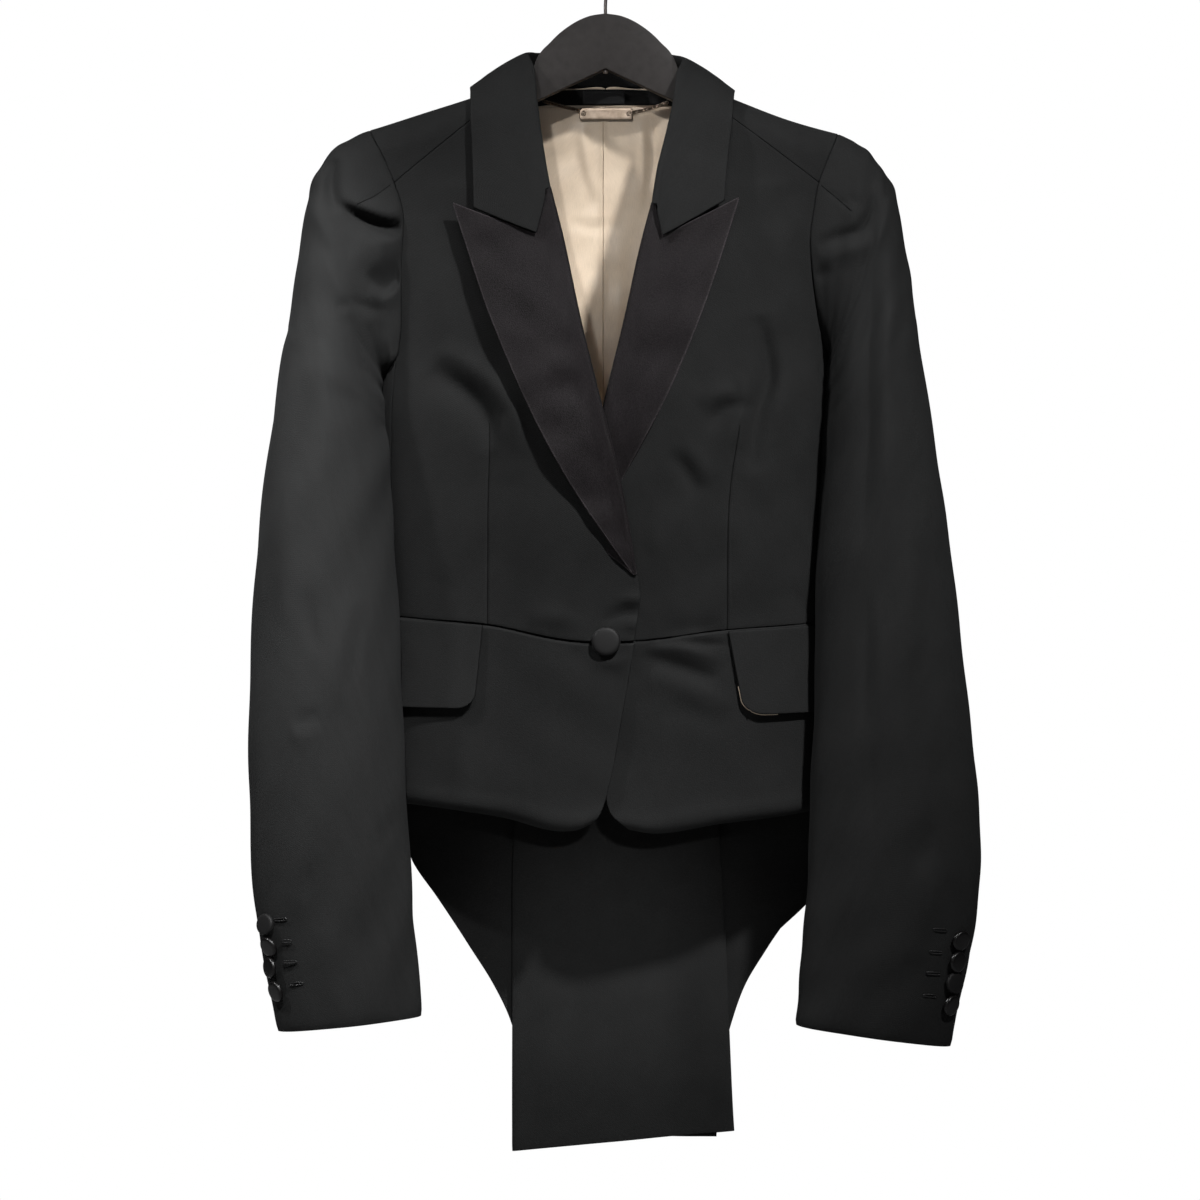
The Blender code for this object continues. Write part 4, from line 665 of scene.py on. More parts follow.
def rim_loops(grid, steps, normals, thickness, rounding):
    """Loops of points that round a wall's rim from its outer to its inner face, with their edge values."""
    loops, edges = [], []
    for degrees, lower in ((40, False), (80, False), (80, True), (40, True)):
        drawn = rounding * (1 - math.sin(math.radians(degrees)))
        fallen = rounding * (1 - math.cos(math.radians(degrees)))
        depth = thickness - fallen if lower else fallen
        loops.append(grid + steps * drawn - normals * depth)
        edges.append(np.full(len(grid), 0.0 if lower else drawn))
    return loops, edges


def wall_faces(rows, columns, rim, loops):
    """Quads of a wall's outer face, inner face and rim."""
    count, around = rows * columns, len(rim)
    first_inner = count + around * loops
    first = (np.arange(rows - 1)[:, None] * columns + np.arange(columns - 1)[None, :]).ravel()
    quads = np.stack([first, first + 1, first + columns + 1, first + columns], axis=-1)
    faces = [quads, quads[:, ::-1] + first_inner]
    chain = [rim] + [count + around * place + np.arange(around) for place in range(loops)]
    chain += [rim + first_inner]
    for above, below in zip(chain, chain[1:]):
        faces.append(np.stack([above, below, np.roll(below, -1), np.roll(above, -1)], axis=-1))
    return np.concatenate(faces), len(quads)


def add_wall(
    name, grid, thickness, finish, outward,
    rounding=0.55, inside=None, inner_mask=None, normals=None, seams=None,
):
    """A closed cloth wall under a grid of outer points, with rounded rims.

    inside is the finish of its inner face where inner_mask holds, by default everywhere. seams holds
    each point's distance from a line sewn within the panel.
    """
    rows, columns = grid.shape[:2]
    if normals is None:
        normals = grid_normals(grid, outward)
    cloth, edge = cloth_places(grid)
    edge = np.maximum(edge, rounding)
    # The rim's painted shade also falls along these sewn lines
    if seams is not None:
        edge = np.minimum(edge, seams)
    steps = inward_steps(grid)
    rim = rim_order(rows, columns)
    outer = (grid + steps * rounding).reshape(-1, 3)
    inner = (grid - normals * thickness + steps * rounding).reshape(-1, 3)
    at_rim = [part.reshape(-1, 3)[rim] for part in (grid, steps, normals)]
    loops, loop_edges = rim_loops(*at_rim, thickness, rounding)
    faces, quads = wall_faces(rows, columns, rim, len(loops))
    places = np.zeros(len(faces), np.int32)
    if inside:
        places[quads : 2 * quads] = 1 if inner_mask is None else inner_mask[:-1, :-1].ravel()
    flat_cloth = cloth.reshape(-1, 3)
    all_cloth = np.concatenate([flat_cloth, *[flat_cloth[rim]] * len(loops), flat_cloth])
    all_edge = np.concatenate([edge.ravel(), *loop_edges, edge.ravel()])
    finishes = [finish, inside] if inside else [finish]
    points = np.concatenate([outer, *loops, inner])
    return add_mesh(name, points, faces, finishes, places, all_cloth, all_edge)


def swell(side, grid):
    """The jacket's sides drawn out below the armholes, more so behind."""
    out = column(SWELL[side], "height", "out", grid[..., 2])
    share = ease((side * grid[..., 0] - SWELL_FROM) / SWELL_FADE)
    far_side = ease((side * grid[..., 0] - SWELL_BEHIND_FROM) / SWELL_BEHIND_FADE)
    behind = ease(grid[..., 1] / SWELL_DEPTH_FADE) * far_side
    grid = grid.copy()
    grid[..., 0] += side * out * (share + SWELL_BEHIND[side] * behind)
    return grid


def soften(values):
    """Values of a grid evened out with their neighbours."""
    for axis in (0, 1):
        first, last = np.take(values, [0], axis), np.take(values, [-1], axis)
        padded = np.concatenate([first, values, last], axis=axis)
        count = values.shape[axis]
        before = np.take(padded, range(count), axis)
        after = np.take(padded, range(2, count + 2), axis)
        values = values * 0.5 + (before + after) * 0.25
    return values


def with_allowance(grid, outward):
    """A panel's top edge turned in under its neighbour."""
    normals = grid_normals(grid, outward)[0]
    up = unit(grid[0] - grid[1])
    rows = [grid[0] + up * rise - normals * depth for rise, depth in ALLOWANCE]
    return np.concatenate([rows, grid])


# The allowance's two rows, free edge first: how far each goes up and in
ALLOWANCE = ((4.5, 2.7), (0.3, 2.3))


def front_edge(side, share):
    return [column(FRONT_EDGE, "share", f"{SIDES[side]}_{axis}", share) for axis in "xz"]


def front_seam_points(side, shares):
    start = armhole_point(side, SIDE_FRONT)
    angle = mix(angle_of(side, start[0], start[2]), SIDE_SEAM_WAIST, ease(shares))
    return angle, mix(start[2], waist_height(side, SIDE_SEAM_WAIST), shares)


def back_seam_points(side, shares):
    start = armhole_point(side, SIDE_BACK)
    angle = mix(180 - angle_of(side, start[0], start[2]), BACK_SEAM_WAIST, ease(shares))
    return angle, mix(start[2], waist_height(side, BACK_SEAM_WAIST), shares)


def lap_out(side, x, z):
    """How far a front stands out where it laps over the other."""
    if side == RIGHT:
        return np.zeros(np.broadcast(x, z).shape)
    across = ease((x - LAP_ENDS) / (LAP_FLAT_FROM - LAP_ENDS))
    amount = mix(LAP_OUT_BELOW, LAP_OUT, ease((z - LAP_BELOW_FROM) / LAP_BELOW_FADE))
    return across * amount * ease((LAP_ROLL_FROM - z) / LAP_ROLL_FADE)


# Creases in the front view: points, reach on each side of the course, height, sharpness
FRONT_CREASES = {
    LEFT: (
        (((-118, -304), (-96, -316), (-76, -334), (-64, -355), (-59, -382)), 8, 7, 4.2, 1.8),
        (((-118, -318), (-101, -331), (-88, -345), (-80, -362), (-79, -376)), 6, 9, -6.2, 1.7),
        (((-73, -352), (-71, -362), (-74, -374)), 3, 3, 2.2, 1.8),
        (((-76, -355), (-75, -367), (-77, -380)), 3, 3, 1.6, 2),
        (((-66, -330), (-70, -360), (-72, -400)), 12, 9, 1.8, 2),
        (((-128, -210), (-118, -262), (-108, -312)), 12, 16, 1.6, 2),
        (((-2, -498), (10, -492), (26, -489)), 4, 3, -2.4, 1.7),
        (((14, -501), (21, -499), (26, -500)), 3, 3, 2.0, 1.8),
        (((10, -484), (18, -481), (27, -483)), 4, 4, 2.2, 1.8),
        (((14, -462), (22, -450), (26, -438)), 4, 5, -1.6, 1.8),
        (((-56, -494), (-36, -494), (-16, -500)), 7, 7, 1.6, 2),
        (((-110, -470), (-100, -440), (-104, -400)), 16, 14, 1.4, 2),
    ),
    RIGHT: (
        (((72, -362), (80, -351), (90, -345), (101, -347)), 4, 5, -4.2, 1.6),
        (((66, -346), (76, -338), (90, -335)), 6, 6, 3.2, 1.8),
        (((108, -282), (112, -306), (111, -326), (102, -354), (99, -392)), 6, 9, -7.2, 1.7),
        (((93, -322), (96, -336), (94, -350), (90, -376)), 7, 6, 3.8, 1.8),
        (((122, -296), (124, -336), (117, -376)), 8, 9, 2.0, 2),
        (((44, -378), (55, -390), (66, -410)), 6, 5, -3.4, 1.7),
        (((52, -372), (64, -384), (72, -400)), 6, 7, 1.8, 2),
        (((128, -196), (118, -250), (110, -300)), 14, 12, 1.6, 2),
        (((38, -505), (60, -503), (84, -502)), 7, 4, -1.6, 2),
        (((96, -420), (104, -452), (112, -480)), 12, 14, 1.4, 2),
        (((118, -470), (130, -486), (140, -494)), 8, 8, -1.4, 2),
    ),
}


ARMHOLE_ROWS, SIDE_ROWS, SIDE_COLUMNS = 75, 57, 25
FRONT_INNER_COLUMNS, FRONT_OUTER_COLUMNS = 27, 31
FRONT_UNDER_LAPEL = 2.6
DART_STRIP = np.array([-2.2, -1.1, -0.5, 0.0, 0.5, 1.1, 2.2])
DART_STRIP_CLEAR = 4
DART_LEAN = 0.45
DART_SUNK, DART_SUNK_REACH = 0.85, 0.75
DART_RAISED, DART_RAISED_OFF = 0.5, 6
ABOVE_WAIST_SHARE = 0.857


def front_relief(side, x, z, outer_x, off_dart):
    """Creases, unevenness and the sewn dart of a bodice front."""
    relief = crease(x, z, FRONT_CREASES[side]) + uneven(x, z, "front", side)
    relief *= ease(np.abs(x - outer_x) / 14) * ease((z[0].min() - z) / 10 + 0.4)
    stitched = ease((DART_TIP - z) / 10)
    relief -= DART_SUNK * stitched * np.exp(-((off_dart / DART_SUNK_REACH) ** 2))
    relief += DART_RAISED * stitched * np.exp(-(((off_dart - DART_RAISED_OFF) / DART_RAISED_OFF) ** 2))
    if side == RIGHT:
        relief = np.where(x < covering_roll(z) + 12, np.minimum(relief, 0), relief)
    return relief


def front_grid(side):
    """The bodice front, with one line of points down its dart, and each point's distance from the dart."""
    upper = armhole_point(side, np.linspace(FORWARD_SEAM, SIDE_FRONT, ARMHOLE_ROWS))
    angle, height = front_seam_points(side, np.linspace(0, 1, SIDE_ROWS)[1:])
    outer = np.concatenate([upper, ring_point(side, angle, height)])
    outer_x = outer[:, 0:1]
    upper_shares = np.linspace(0, ARMHOLE_SHARE, ARMHOLE_ROWS)
    shares = np.concatenate([upper_shares, np.linspace(ARMHOLE_SHARE, 1, SIDE_ROWS)[1:]])
    inner_x, inner_z = front_edge(side, shares)
    inner_x = (inner_x + side * FRONT_UNDER_LAPEL * ease((inner_z + 470) / 14))[:, None]
    dart = column(DARTS[side], "height", "x", mix(inner_z, outer[:, 2], DART_LEAN))[:, None]
    clear = DART_STRIP_CLEAR * side
    inside = mix(inner_x, dart - clear, np.linspace(0, 1, FRONT_INNER_COLUMNS)[None])
    outside = mix(dart + clear, outer_x, np.linspace(0, 1, FRONT_OUTER_COLUMNS)[None])
    x = np.concatenate([inside, dart + (DART_STRIP * side)[None], outside], axis=1)
    across = (x - inner_x) / (outer_x - inner_x)
    z = mix(inner_z[:, None], outer[:, 2:3], across)
    down_to_waist = np.clip((shares - ABOVE_WAIST_SHARE) / (1 - ABOVE_WAIST_SHARE), 0, 1)[:, None]
    z += (waist_height(side, angle_of(side, x[-1], -505.0)) - z[-1]) * down_to_waist
    off_dart = np.abs(x - dart)
    relief = front_relief(side, x, z, outer_x, off_dart)
    return front_point(x, z, lap_out(side, x, z) + relief), np.where(z < DART_TIP, off_dart, FAR_FROM_RIM)


SIDE_CREASES = ((((92, -330), (94, -400), (91, -470)), 7, 7, -1.6, 2),)


def side_grid(side):
    """The panel under the arm, from the armhole down to the waist seam."""
    shares = np.linspace(0, 1, SIDE_ROWS)
    front_angle, front_height = front_seam_points(side, shares)
    back_angle, back_height = back_seam_points(side, shares)
    across = np.linspace(0, 1, SIDE_COLUMNS)
    angle = mix(front_angle[:, None], back_angle[:, None], across[None, :])
    height = mix(front_height[:, None], back_height[:, None], across[None, :])
    relief = crease(angle, height, SIDE_CREASES)
    relief *= ease(np.minimum(across, 1 - across) * 6)[None]
    grid = ring_point(side, angle, height, relief)
    top = armhole_point(side, np.linspace(SIDE_FRONT, SIDE_BACK, SIDE_COLUMNS))
    fade = smooth([0, 1 / 7, 2 / 7, 3 / 7, 1], [1, 0.55, 0.2, 0, 0], shares)
    return grid + (top - grid[0])[None] * fade[:, None, None]


# The back's inner edge above the waist: distances out of its last points, up the neck to the shoulder
NECK_OUT = (0.0, 22.0, 40.0, 53.0, 64.0, 66.0, 68.0, 69.5, 70.0)
CENTRE_ROWS, NECK_ROWS, SHOULDER_ROWS = 12, 4, 5
BACK_ROWS, BACK_COLUMNS, BACK_REFINED = 21, 10, 6
NECK_SEAM, NECK_TOP = -128.0, -110.0
ROUND_SHOULDER_FROM, ROUND_SHOULDER_ROWS = 9, 5.0


def back_inner_edge(side):
    """The back's edge at the centre seam and round the neck: distance out, height and distance along."""
    x = np.concatenate([np.zeros(CENTRE_ROWS), NECK_OUT]) * side
    centre = np.linspace(waist_height(side, 180), NECK_SEAM, CENTRE_ROWS)
    z = np.concatenate([centre, np.full(NECK_ROWS, NECK_TOP), np.zeros(SHOULDER_ROWS)])
    along = along_from_height(x, z)
    seam_x, seam_z = front_edge(side, 0.0)
    along[-SHOULDER_ROWS:] = np.linspace(0, 1, SHOULDER_ROWS) * -along_from_height(seam_x, seam_z)
    x[-1] = seam_x
    return x, z, along, seam_z


def back_outer_edge(side):
    """The back's edge from the waist up the side seam and the armhole, over to the forward seam."""
    angle, height = back_seam_points(side, np.linspace(1, 0, 8))
    back = np.linspace(SIDE_BACK, 360, 10)[1:]
    shoulder = np.linspace(0, FORWARD_SEAM, SHOULDER_ROWS)[1:]
    parts = [ring_point(side, angle, height), armhole_point(side, back), armhole_point(side, shoulder)]
    outer = np.concatenate(parts)
    along = along_from_height(outer[:, 0], outer[:, 2])
    along[1 - SHOULDER_ROWS :] *= -1
    return outer, along


def back_grid(side):
    """From the waist seam up the back and over the shoulder to the forward seam."""
    inner_x, inner_z, inner_along, seam_z = back_inner_edge(side)
    outer, outer_along = back_outer_edge(side)
    across = np.linspace(0, 1, BACK_COLUMNS)[None, :]
    x = mix(inner_x[:, None], outer[:, 0:1], across)
    level = mix(inner_z[:, None], outer[:, 2:3], across)
    weight = ease((np.arange(BACK_ROWS)[:, None] - ROUND_SHOULDER_FROM) / ROUND_SHOULDER_ROWS)
    between = mix(inner_along[:, None], outer_along[:, None], across)
    along = mix(along_from_height(x, level), between, weight)
    low_angle = 180 - angle_of(side, x[0], -498.0)
    along[0] = along_from_height(x[0], waist_height(side, low_angle))
    seam_z = mix(seam_z, outer[-1, 2], across[0])
    along[-1] = -along_from_height(x[-1], seam_z)
    fine = refine(np.stack([x, along], axis=-1), BACK_REFINED, BACK_REFINED)
    x, along = fine[..., 0], fine[..., 1]
    place = np.linspace(0, 1, x.shape[1])[None]
    relief = crease(x, -along, BACK_CREASES[side]) + uneven(x, along, "back", side)
    relief *= ease((along - 20) / 30) * ease((1 - place) * 9) * ease(place * 12)
    return body_point(x, along, relief)


# Creases of the back, over distance out and distance down from the shoulder's ridge
BACK_CREASES = {
    LEFT: (
        (((-30, -60), (-70, -74), (-118, -70)), 10, 14, -2.2, 2),
        (((-120, -80), (-108, -150), (-112, -200)), 12, 14, -2.0, 2),
        (((-60, -300), (-80, -340), (-104, -352)), 12, 10, 1.8, 2),
        (((-20, -330), (-50, -352), (-90, -366)), 9, 12, -1.6, 2),
    ),
    RIGHT: (
        (((34, -56), (76, -70), (120, -64)), 12, 12, -2.0, 2),
        (((118, -84), (110, -160), (116, -210)), 14, 12, -2.2, 2),
        (((50, -310), (84, -338), (110, -346)), 11, 10, 1.8, 2),
        (((24, -340), (60, -358), (100, -360)), 10, 10, -1.6, 2),
    ),
}


def covering_roll(z):
    """Where the left front's roll line, which laps over the right front, lies at a height."""
    roll = LAPEL_ROLL[LEFT]
    return smooth(roll["z"][::-1], roll["x"][::-1], z)


LAPEL_ROWS, LAPEL_COLUMNS = 121, 37
LAPEL_ROLL_RADIUS, LAPEL_ROLL_END_RADIUS = 2.75, 0.95
LAPEL_ROLL_TURNS = (180, 150, 120, 90, 60, 30)
# How far inside the front's edge the hidden columns of the satin lie
LAPEL_INSIDE = (20.0, 14.0, 8.0, 3.0)
LAPEL_TIP_ROUNDING = 0.28


def lapel_flat(side, radius):
    """A lapel in the front view, from its roll to its outer edge, with the notch in its top edge."""
    roll = path(LAPEL_ROLL[side], LAPEL_ROWS)
    outer = path(LAPEL_OUTER[side], LAPEL_ROWS)
    roll[:, 0] += side * radius
    notch = np.array(NOTCH[side])
    at = np.linspace(0, 1, LAPEL_COLUMNS)[:, None]
    before = mix(roll[0], notch, at / NOTCH_PLACE)
    after = mix(notch, outer[0], (at - NOTCH_PLACE) / (1 - NOTCH_PLACE))
    top = np.where(at < NOTCH_PLACE, before, after)
    flat = coons(top, mix(roll[-1], outer[-1], at), roll, outer)
    flat[0, -1] = mix(flat[0, -1], flat[2, -3], LAPEL_TIP_ROUNDING)
    return flat[..., 0], flat[..., 1]


def lapel_roll(side, chest, radius, down):
    """The satin inside the front's edge and round the roll, up to the chest's first column."""
    turns = np.radians(np.array(LAPEL_ROLL_TURNS))
    centre = chest[:, 0] + np.array([0, 1, 0]) * radius[:, None]
    ways = np.stack([side * np.sin(turns), np.cos(turns), 0 * turns], axis=-1)
    roll = centre[:, None] - ways[None] * radius[:, None, None]
    reach = np.array(LAPEL_INSIDE)[None, :] * ease((1.02 - down) / 0.1)
    inside_x = roll[:, 0, 0:1] + side * (reach + 0.4)
    level = np.repeat(chest[:, 0, 2:3], len(LAPEL_INSIDE), axis=1)
    behind = front_point(inside_x, level, lap_out(side, inside_x, level))
    first_x, first_z = roll[:, 0, 0], chest[:, 0, 2]
    on_front = front_point(first_x, first_z, lap_out(side, first_x, first_z))
    behind[..., 1] += (roll[:, 0, 1] - on_front[:, 1])[:, None]
    return np.concatenate([behind, roll], axis=1)


def lapel_grid(side):
    """The satin from inside the front's edge, round the roll and over the chest."""
    down = np.linspace(0, 1, LAPEL_ROWS)[:, None]
    radius = mix(LAPEL_ROLL_RADIUS, LAPEL_ROLL_END_RADIUS, ease((down[:, 0] - 0.86) / 0.14))
    x, z = lapel_flat(side, radius)
    across = np.linspace(0, 1, LAPEL_COLUMNS)[None, :]
    stand = column(LAPEL_STAND, "place", "out", down) * across**LAPEL_STAND_CURVE
    if side == RIGHT:
        stand = stand * ease((x - covering_roll(z)) / LAPEL_COVER_FADE)
    wave = uneven(x, z, "lapel", side) * ease(across * 3)
    out = lap_out(side, x, z) + LAPEL_OUT + stand + wave
    chest = front_point(x, z, out)
    return np.concatenate([lapel_roll(side, chest, radius, down), chest], axis=1)


COLLAR_STEPS = 5
COLLAR_FALL = (0.3, 0.6, 0.8, 1.0)
COLLAR_BULGES = (0, 0, 0, 0, 0, 1, 1, 0.5, 0)
COLLAR_OUTSIDE, COLLAR_EDGE = 4, 8
COLLAR_END_FADE = (1, 0.66, 0.36, 0.14, 0)


def shape_collar_end(fine, coarse, side, end, step):
    """Draws an end of the fall out to its notch point, less and less along the collar."""
    notch = np.array(COLLAR_END[side])
    start, finish = coarse[end, COLLAR_OUTSIDE, [0, 2]], coarse[end, COLLAR_EDGE, [0, 2]]
    columns = np.arange(COLLAR_OUTSIDE * COLLAR_STEPS, COLLAR_EDGE * COLLAR_STEPS + 1)
    coarse_columns = np.arange(COLLAR_OUTSIDE, COLLAR_EDGE + 1)
    share = np.interp(columns / COLLAR_STEPS, coarse_columns, [0, *COLLAR_FALL])[:, None]
    first = COLLAR_FALL[0]
    before = mix(start, notch, share / first)
    after = mix(notch, finish, (share - first) / (1 - first))
    shift = np.where(share < first, before, after) - mix(start, finish, share)
    fading = len(COLLAR_END_FADE) - 1
    for row in range(fading * COLLAR_STEPS):
        fade = float(np.interp(row / COLLAR_STEPS, range(fading + 1), COLLAR_END_FADE))
        fine[end + step * row, columns[0] :, 0] += shift[:, 0] * fade
        fine[end + step * row, columns[0] :, 2] += shift[:, 1] * fade


def collar_grid():
    """Stand, fold and fall, from the left end round the neck to the right end."""
    stations = np.linspace(0, len(COLLAR) - 1, 2 * len(COLLAR) - 1)
    spots = rows_between(np.array(COLLAR), stations)
    neck, fold, edge = spots[:, 0], spots[:, 1], spots[:, 2]
    tip = unit(fold - (neck + edge) / 2)
    spread = edge - neck
    spread = unit(spread - np.sum(spread * tip, axis=-1, keepdims=True) * tip)
    radius = COLLAR_FOLD_RADIUS
    inside = fold - tip * radius - spread * radius * COLLAR_FOLD_WIDTH
    outside = fold - tip * radius + spread * radius * COLLAR_FOLD_WIDTH
    rows = [neck, mix(neck, inside, 0.5), inside, fold, outside]
    rows += [mix(outside, edge, share) for share in COLLAR_FALL]
    grid = np.stack(rows, axis=1)
    bulge = np.array(COLLAR_BULGES) * COLLAR_BULGE
    grid += spread[:, None] * bulge[None, :, None]
    fine = refine(grid, COLLAR_STEPS, COLLAR_STEPS)
    shape_collar_end(fine, grid, LEFT, 0, 1)
    shape_collar_end(fine, grid, RIGHT, -1, -1)
    return fine


SKIRT_CREASES = {
    LEFT: (
        (((-9, -519), (3, -525.5), (17, -522)), 3, 5, 2.0, 1.8),
        (((-14, -505), (-20, -520), (-12, -530)), 6, 6, -1.0, 2),
    ),
    RIGHT: (
        (((24, -521), (50, -528), (80, -538)), 5, 8, -3.6, 1.8),
        (((24, -511), (52, -515), (82, -525)), 3.5, 5, 2.2, 1.8),
        (((46, -508), (64, -511), (86, -513)), 2.5, 3.5, -2.0, 1.8),
        (((30, -532), (56, -542), (88, -558)), 7, 9, 1.8, 2),
        (((40, -556), (62, -562), (84, -572)), 8, 8, -1.0, 2),
    ),
}


SKIRT_ROWS, SKIRT_COLUMNS = 61, 97
HEM_RAISED, HEM_TURNED_IN, HEM_TURN = 0.7, 4.4, 6


def skirt_flat(side):
    """A front skirt over angle and height, between its front edge, hem and back seam."""
    edge = path(SKIRT_EDGE[side], SKIRT_ROWS)
    start = np.stack([angle_of(side, edge[:, 0], edge[:, 1]), edge[:, 1]], axis=-1)
    share = np.linspace(0, 1, SKIRT_COLUMNS)
    top_angle = mix(start[0, 0], BACK_SEAM_WAIST, share)
    top = np.stack([top_angle, waist_height(side, top_angle)], axis=-1)
    hem = [column(SKIRT_HEM[side], "place", name, share) for name in ("angle", "height")]
    bottom = np.stack(hem, axis=-1)
    bottom[0] = start[-1]
    end_height = np.linspace(top[-1, 1], bottom[-1, 1], SKIRT_ROWS)
    end = np.stack([np.full(SKIRT_ROWS, BACK_SEAM_WAIST), end_height], axis=-1)
    flat = coons(top, bottom, start, end)
    return flat[..., 0], flat[..., 1]


def skirt_grid(side):
    """A front skirt below the waist seam, with its hem turned under."""
    angle, height = skirt_flat(side)
    x = side * half_width(height) * np.sin(np.radians(angle))
    facing_front = np.cos(np.radians(angle)) > 0
    relief = crease(x, height, SKIRT_CREASES[side]) + uneven(x, height, "skirt", side)
    relief *= ease((height[0] - height) / 8) * ease((100 - angle) / 12)
    up = height - height[-1]
    relief += HEM_RAISED * np.exp(-(((up - 9) / 5) ** 2))
    relief -= HEM_TURNED_IN * np.clip(1 - up / HEM_TURN, 0, 1) ** 2
    out = lap_out(side, x, height) + relief
    grid = ring_point(side, angle, height)
    grid[..., 1] -= out * facing_front
    return grid


FLAP_ROWS, FLAP_COLUMNS = 33, 29


def flap_grid(side):
    """A flap over its skirt, with its lower inner corner rounded."""
    top_in, top_out, bottom_in, bottom_out = np.array(FLAPS[side])
    down = np.linspace(0, 1, FLAP_ROWS)[:, None]
    across = np.linspace(0, 1, FLAP_COLUMNS)[None]
    start, end = mix(top_in, bottom_in, down), mix(top_out, bottom_out, down)
    flat = mix(start[:, None], end[:, None], across[..., None])
    x, z = flat[..., 0], flat[..., 1]
    # The corner squeezes the lower inner part of the flap into a quarter round
    inner = np.clip(FLAP_CORNER - np.abs(x - start[-1, 0]), 0, None)
    low = np.clip(FLAP_CORNER - (z - z[-1].min()), 0, None)
    square, far = np.maximum(inner, low), np.hypot(inner, low)
    pull = np.where((inner > 0) & (low > 0), square / np.maximum(far, 1e-6), 1)
    x = x + side * inner * (1 - pull)
    z = z + low * (1 - pull)
    panel = front_point(x, z, lap_out(side, x, z))
    bow = FLAP_BOW * np.sin(math.pi * across) * down + uneven(x, z, "flap")
    lift = FLAP_OUT + FLAP_LIFT * down + bow
    return panel + grid_normals(panel, FORWARD) * lift[..., None]


def tail_fold_x(height):
    return TAIL_FOLD_LEAN * ease((TAIL_FOLD_FROM - height) / TAIL_FOLD_FADE)


def tail_wave(side, x, height):
    """How far a tail swings back from the body's own surface."""
    fold = tail_fold_x(height)
    reach = column(TAIL_EDGE, "height", SIDES[side], height)
    share = np.clip((x - fold) / (reach - fold), 0, 1)
    turn = share * TAIL_WAVE_TURN + TAIL_WAVE_START
    hanging = ease((TAIL_FOLD_FROM - height) / TAIL_WAVE_FADE)
    return TAIL_WAVE * np.sin(turn) * (1 - share**6) * hanging


TAIL_ROWS, TAIL_COLUMNS = 121, 49
TAIL_WAIST_SHARE = 4 / 14
TAIL_HEM_IN, TAIL_HEM_TURN = 1.2, 8


def tail_grid(side):
    """A back skirt from the waist seam down to the tail's hem."""
    share = np.linspace(0, 1, TAIL_COLUMNS)[None, :]
    heights = np.linspace(TAIL_TOP, TAIL_HEM, TAIL_ROWS)[:, None]
    outer = column(TAIL_EDGE, "height", SIDES[side], heights)
    x = mix(tail_fold_x(heights), outer, share)
    level = heights + 0 * x
    top = waist_height(side, 180 - angle_of(side, x[0], TAIL_TOP))
    down = np.arange(TAIL_ROWS)[:, None] / (TAIL_ROWS - 1)
    level = level + (top[None, :] - heights[0]) * np.clip(1 - down / TAIL_WAIST_SHARE, 0, 1)
    grid = back_point(x, level)
    soft = uneven(x, level, "tail", side) * ease((TAIL_TOP - level) / 40)
    soft *= ease((1 - share) * 6) * ease(share * 8)
    turned_in = TAIL_HEM_IN * np.clip(1 - (level - TAIL_HEM) / TAIL_HEM_TURN, 0, 1) ** 2
    grid[..., 1] += tail_wave(side, x, level) + soft - turned_in
    return grid


PLEAT_RETURN_SHARES = (0.12, 0.36, 0.6, 0.8)
PLEAT_ROWS, PLEAT_COLUMNS = 97, 97


def pleat_side(side, fold, edge):
    """Half of the pleat's section, from its return's free edge to the front layer: x and depth."""
    inner = edge - side * PLEAT_FOLD_ROUND
    half_in = (PLEAT_RETURN_IN + PLEAT_IN) / 2
    spots = [(mix(fold, edge, share), PLEAT_RETURN_IN) for share in PLEAT_RETURN_SHARES]
    spots += [(inner, PLEAT_RETURN_IN), (edge, half_in), (inner, PLEAT_IN)]
    return spots + [(mix(fold, edge, 0.5), PLEAT_IN)]


def pleat_grid():
    """The pleat's underlay: back from the right return, round the right fold, across and round."""
    grids = []
    for place in np.linspace(0, 1, PLEAT_ROWS):
        left_z = mix(PLEAT_TOP, PLEAT_HEM_LEFT, place)
        right_z = mix(PLEAT_TOP, PLEAT_HEM_RIGHT, place)
        left = column(PLEAT_EDGE, "height", "left", left_z)
        right = column(PLEAT_EDGE, "height", "right", right_z)
        fold = tail_fold_x((left_z + right_z) / 2)
        spots = pleat_side(RIGHT, fold, right) + [(fold, PLEAT_MIDDLE_IN)]
        spots += pleat_side(LEFT, fold, left)[::-1]
        spots = rows_between(np.array(spots, float), np.linspace(0, len(spots) - 1, PLEAT_COLUMNS))
        x, into = spots[:, 0], spots[:, 1]
        z = mix(left_z, right_z, np.clip((x - left) / (right - left), 0, 1))
        points = back_point(x, z)
        behind = ease((6 - into) / 3)
        wave = np.where(x > fold, tail_wave(RIGHT, x, z), tail_wave(LEFT, x, z))
        in_front = ease((into - 8) / 3)
        soft = crease(x, z, PLEAT_CREASES) + uneven(x, z, "pleat")
        points[:, 1] += wave * behind - into - in_front * ease((PLEAT_TOP - z) / 60) * soft
        grids.append(points)
    return np.stack(grids)


PLEAT_CREASES = (
    (((-40, -640), (-44, -740), (-40, -860)), 14, 10, 2.4, 2),
    (((40, -660), (48, -760), (46, -850)), 16, 16, -1.6, 2),
    (((70, -650), (74, -740), (74, -840)), 9, 9, 1.6, 2),
)


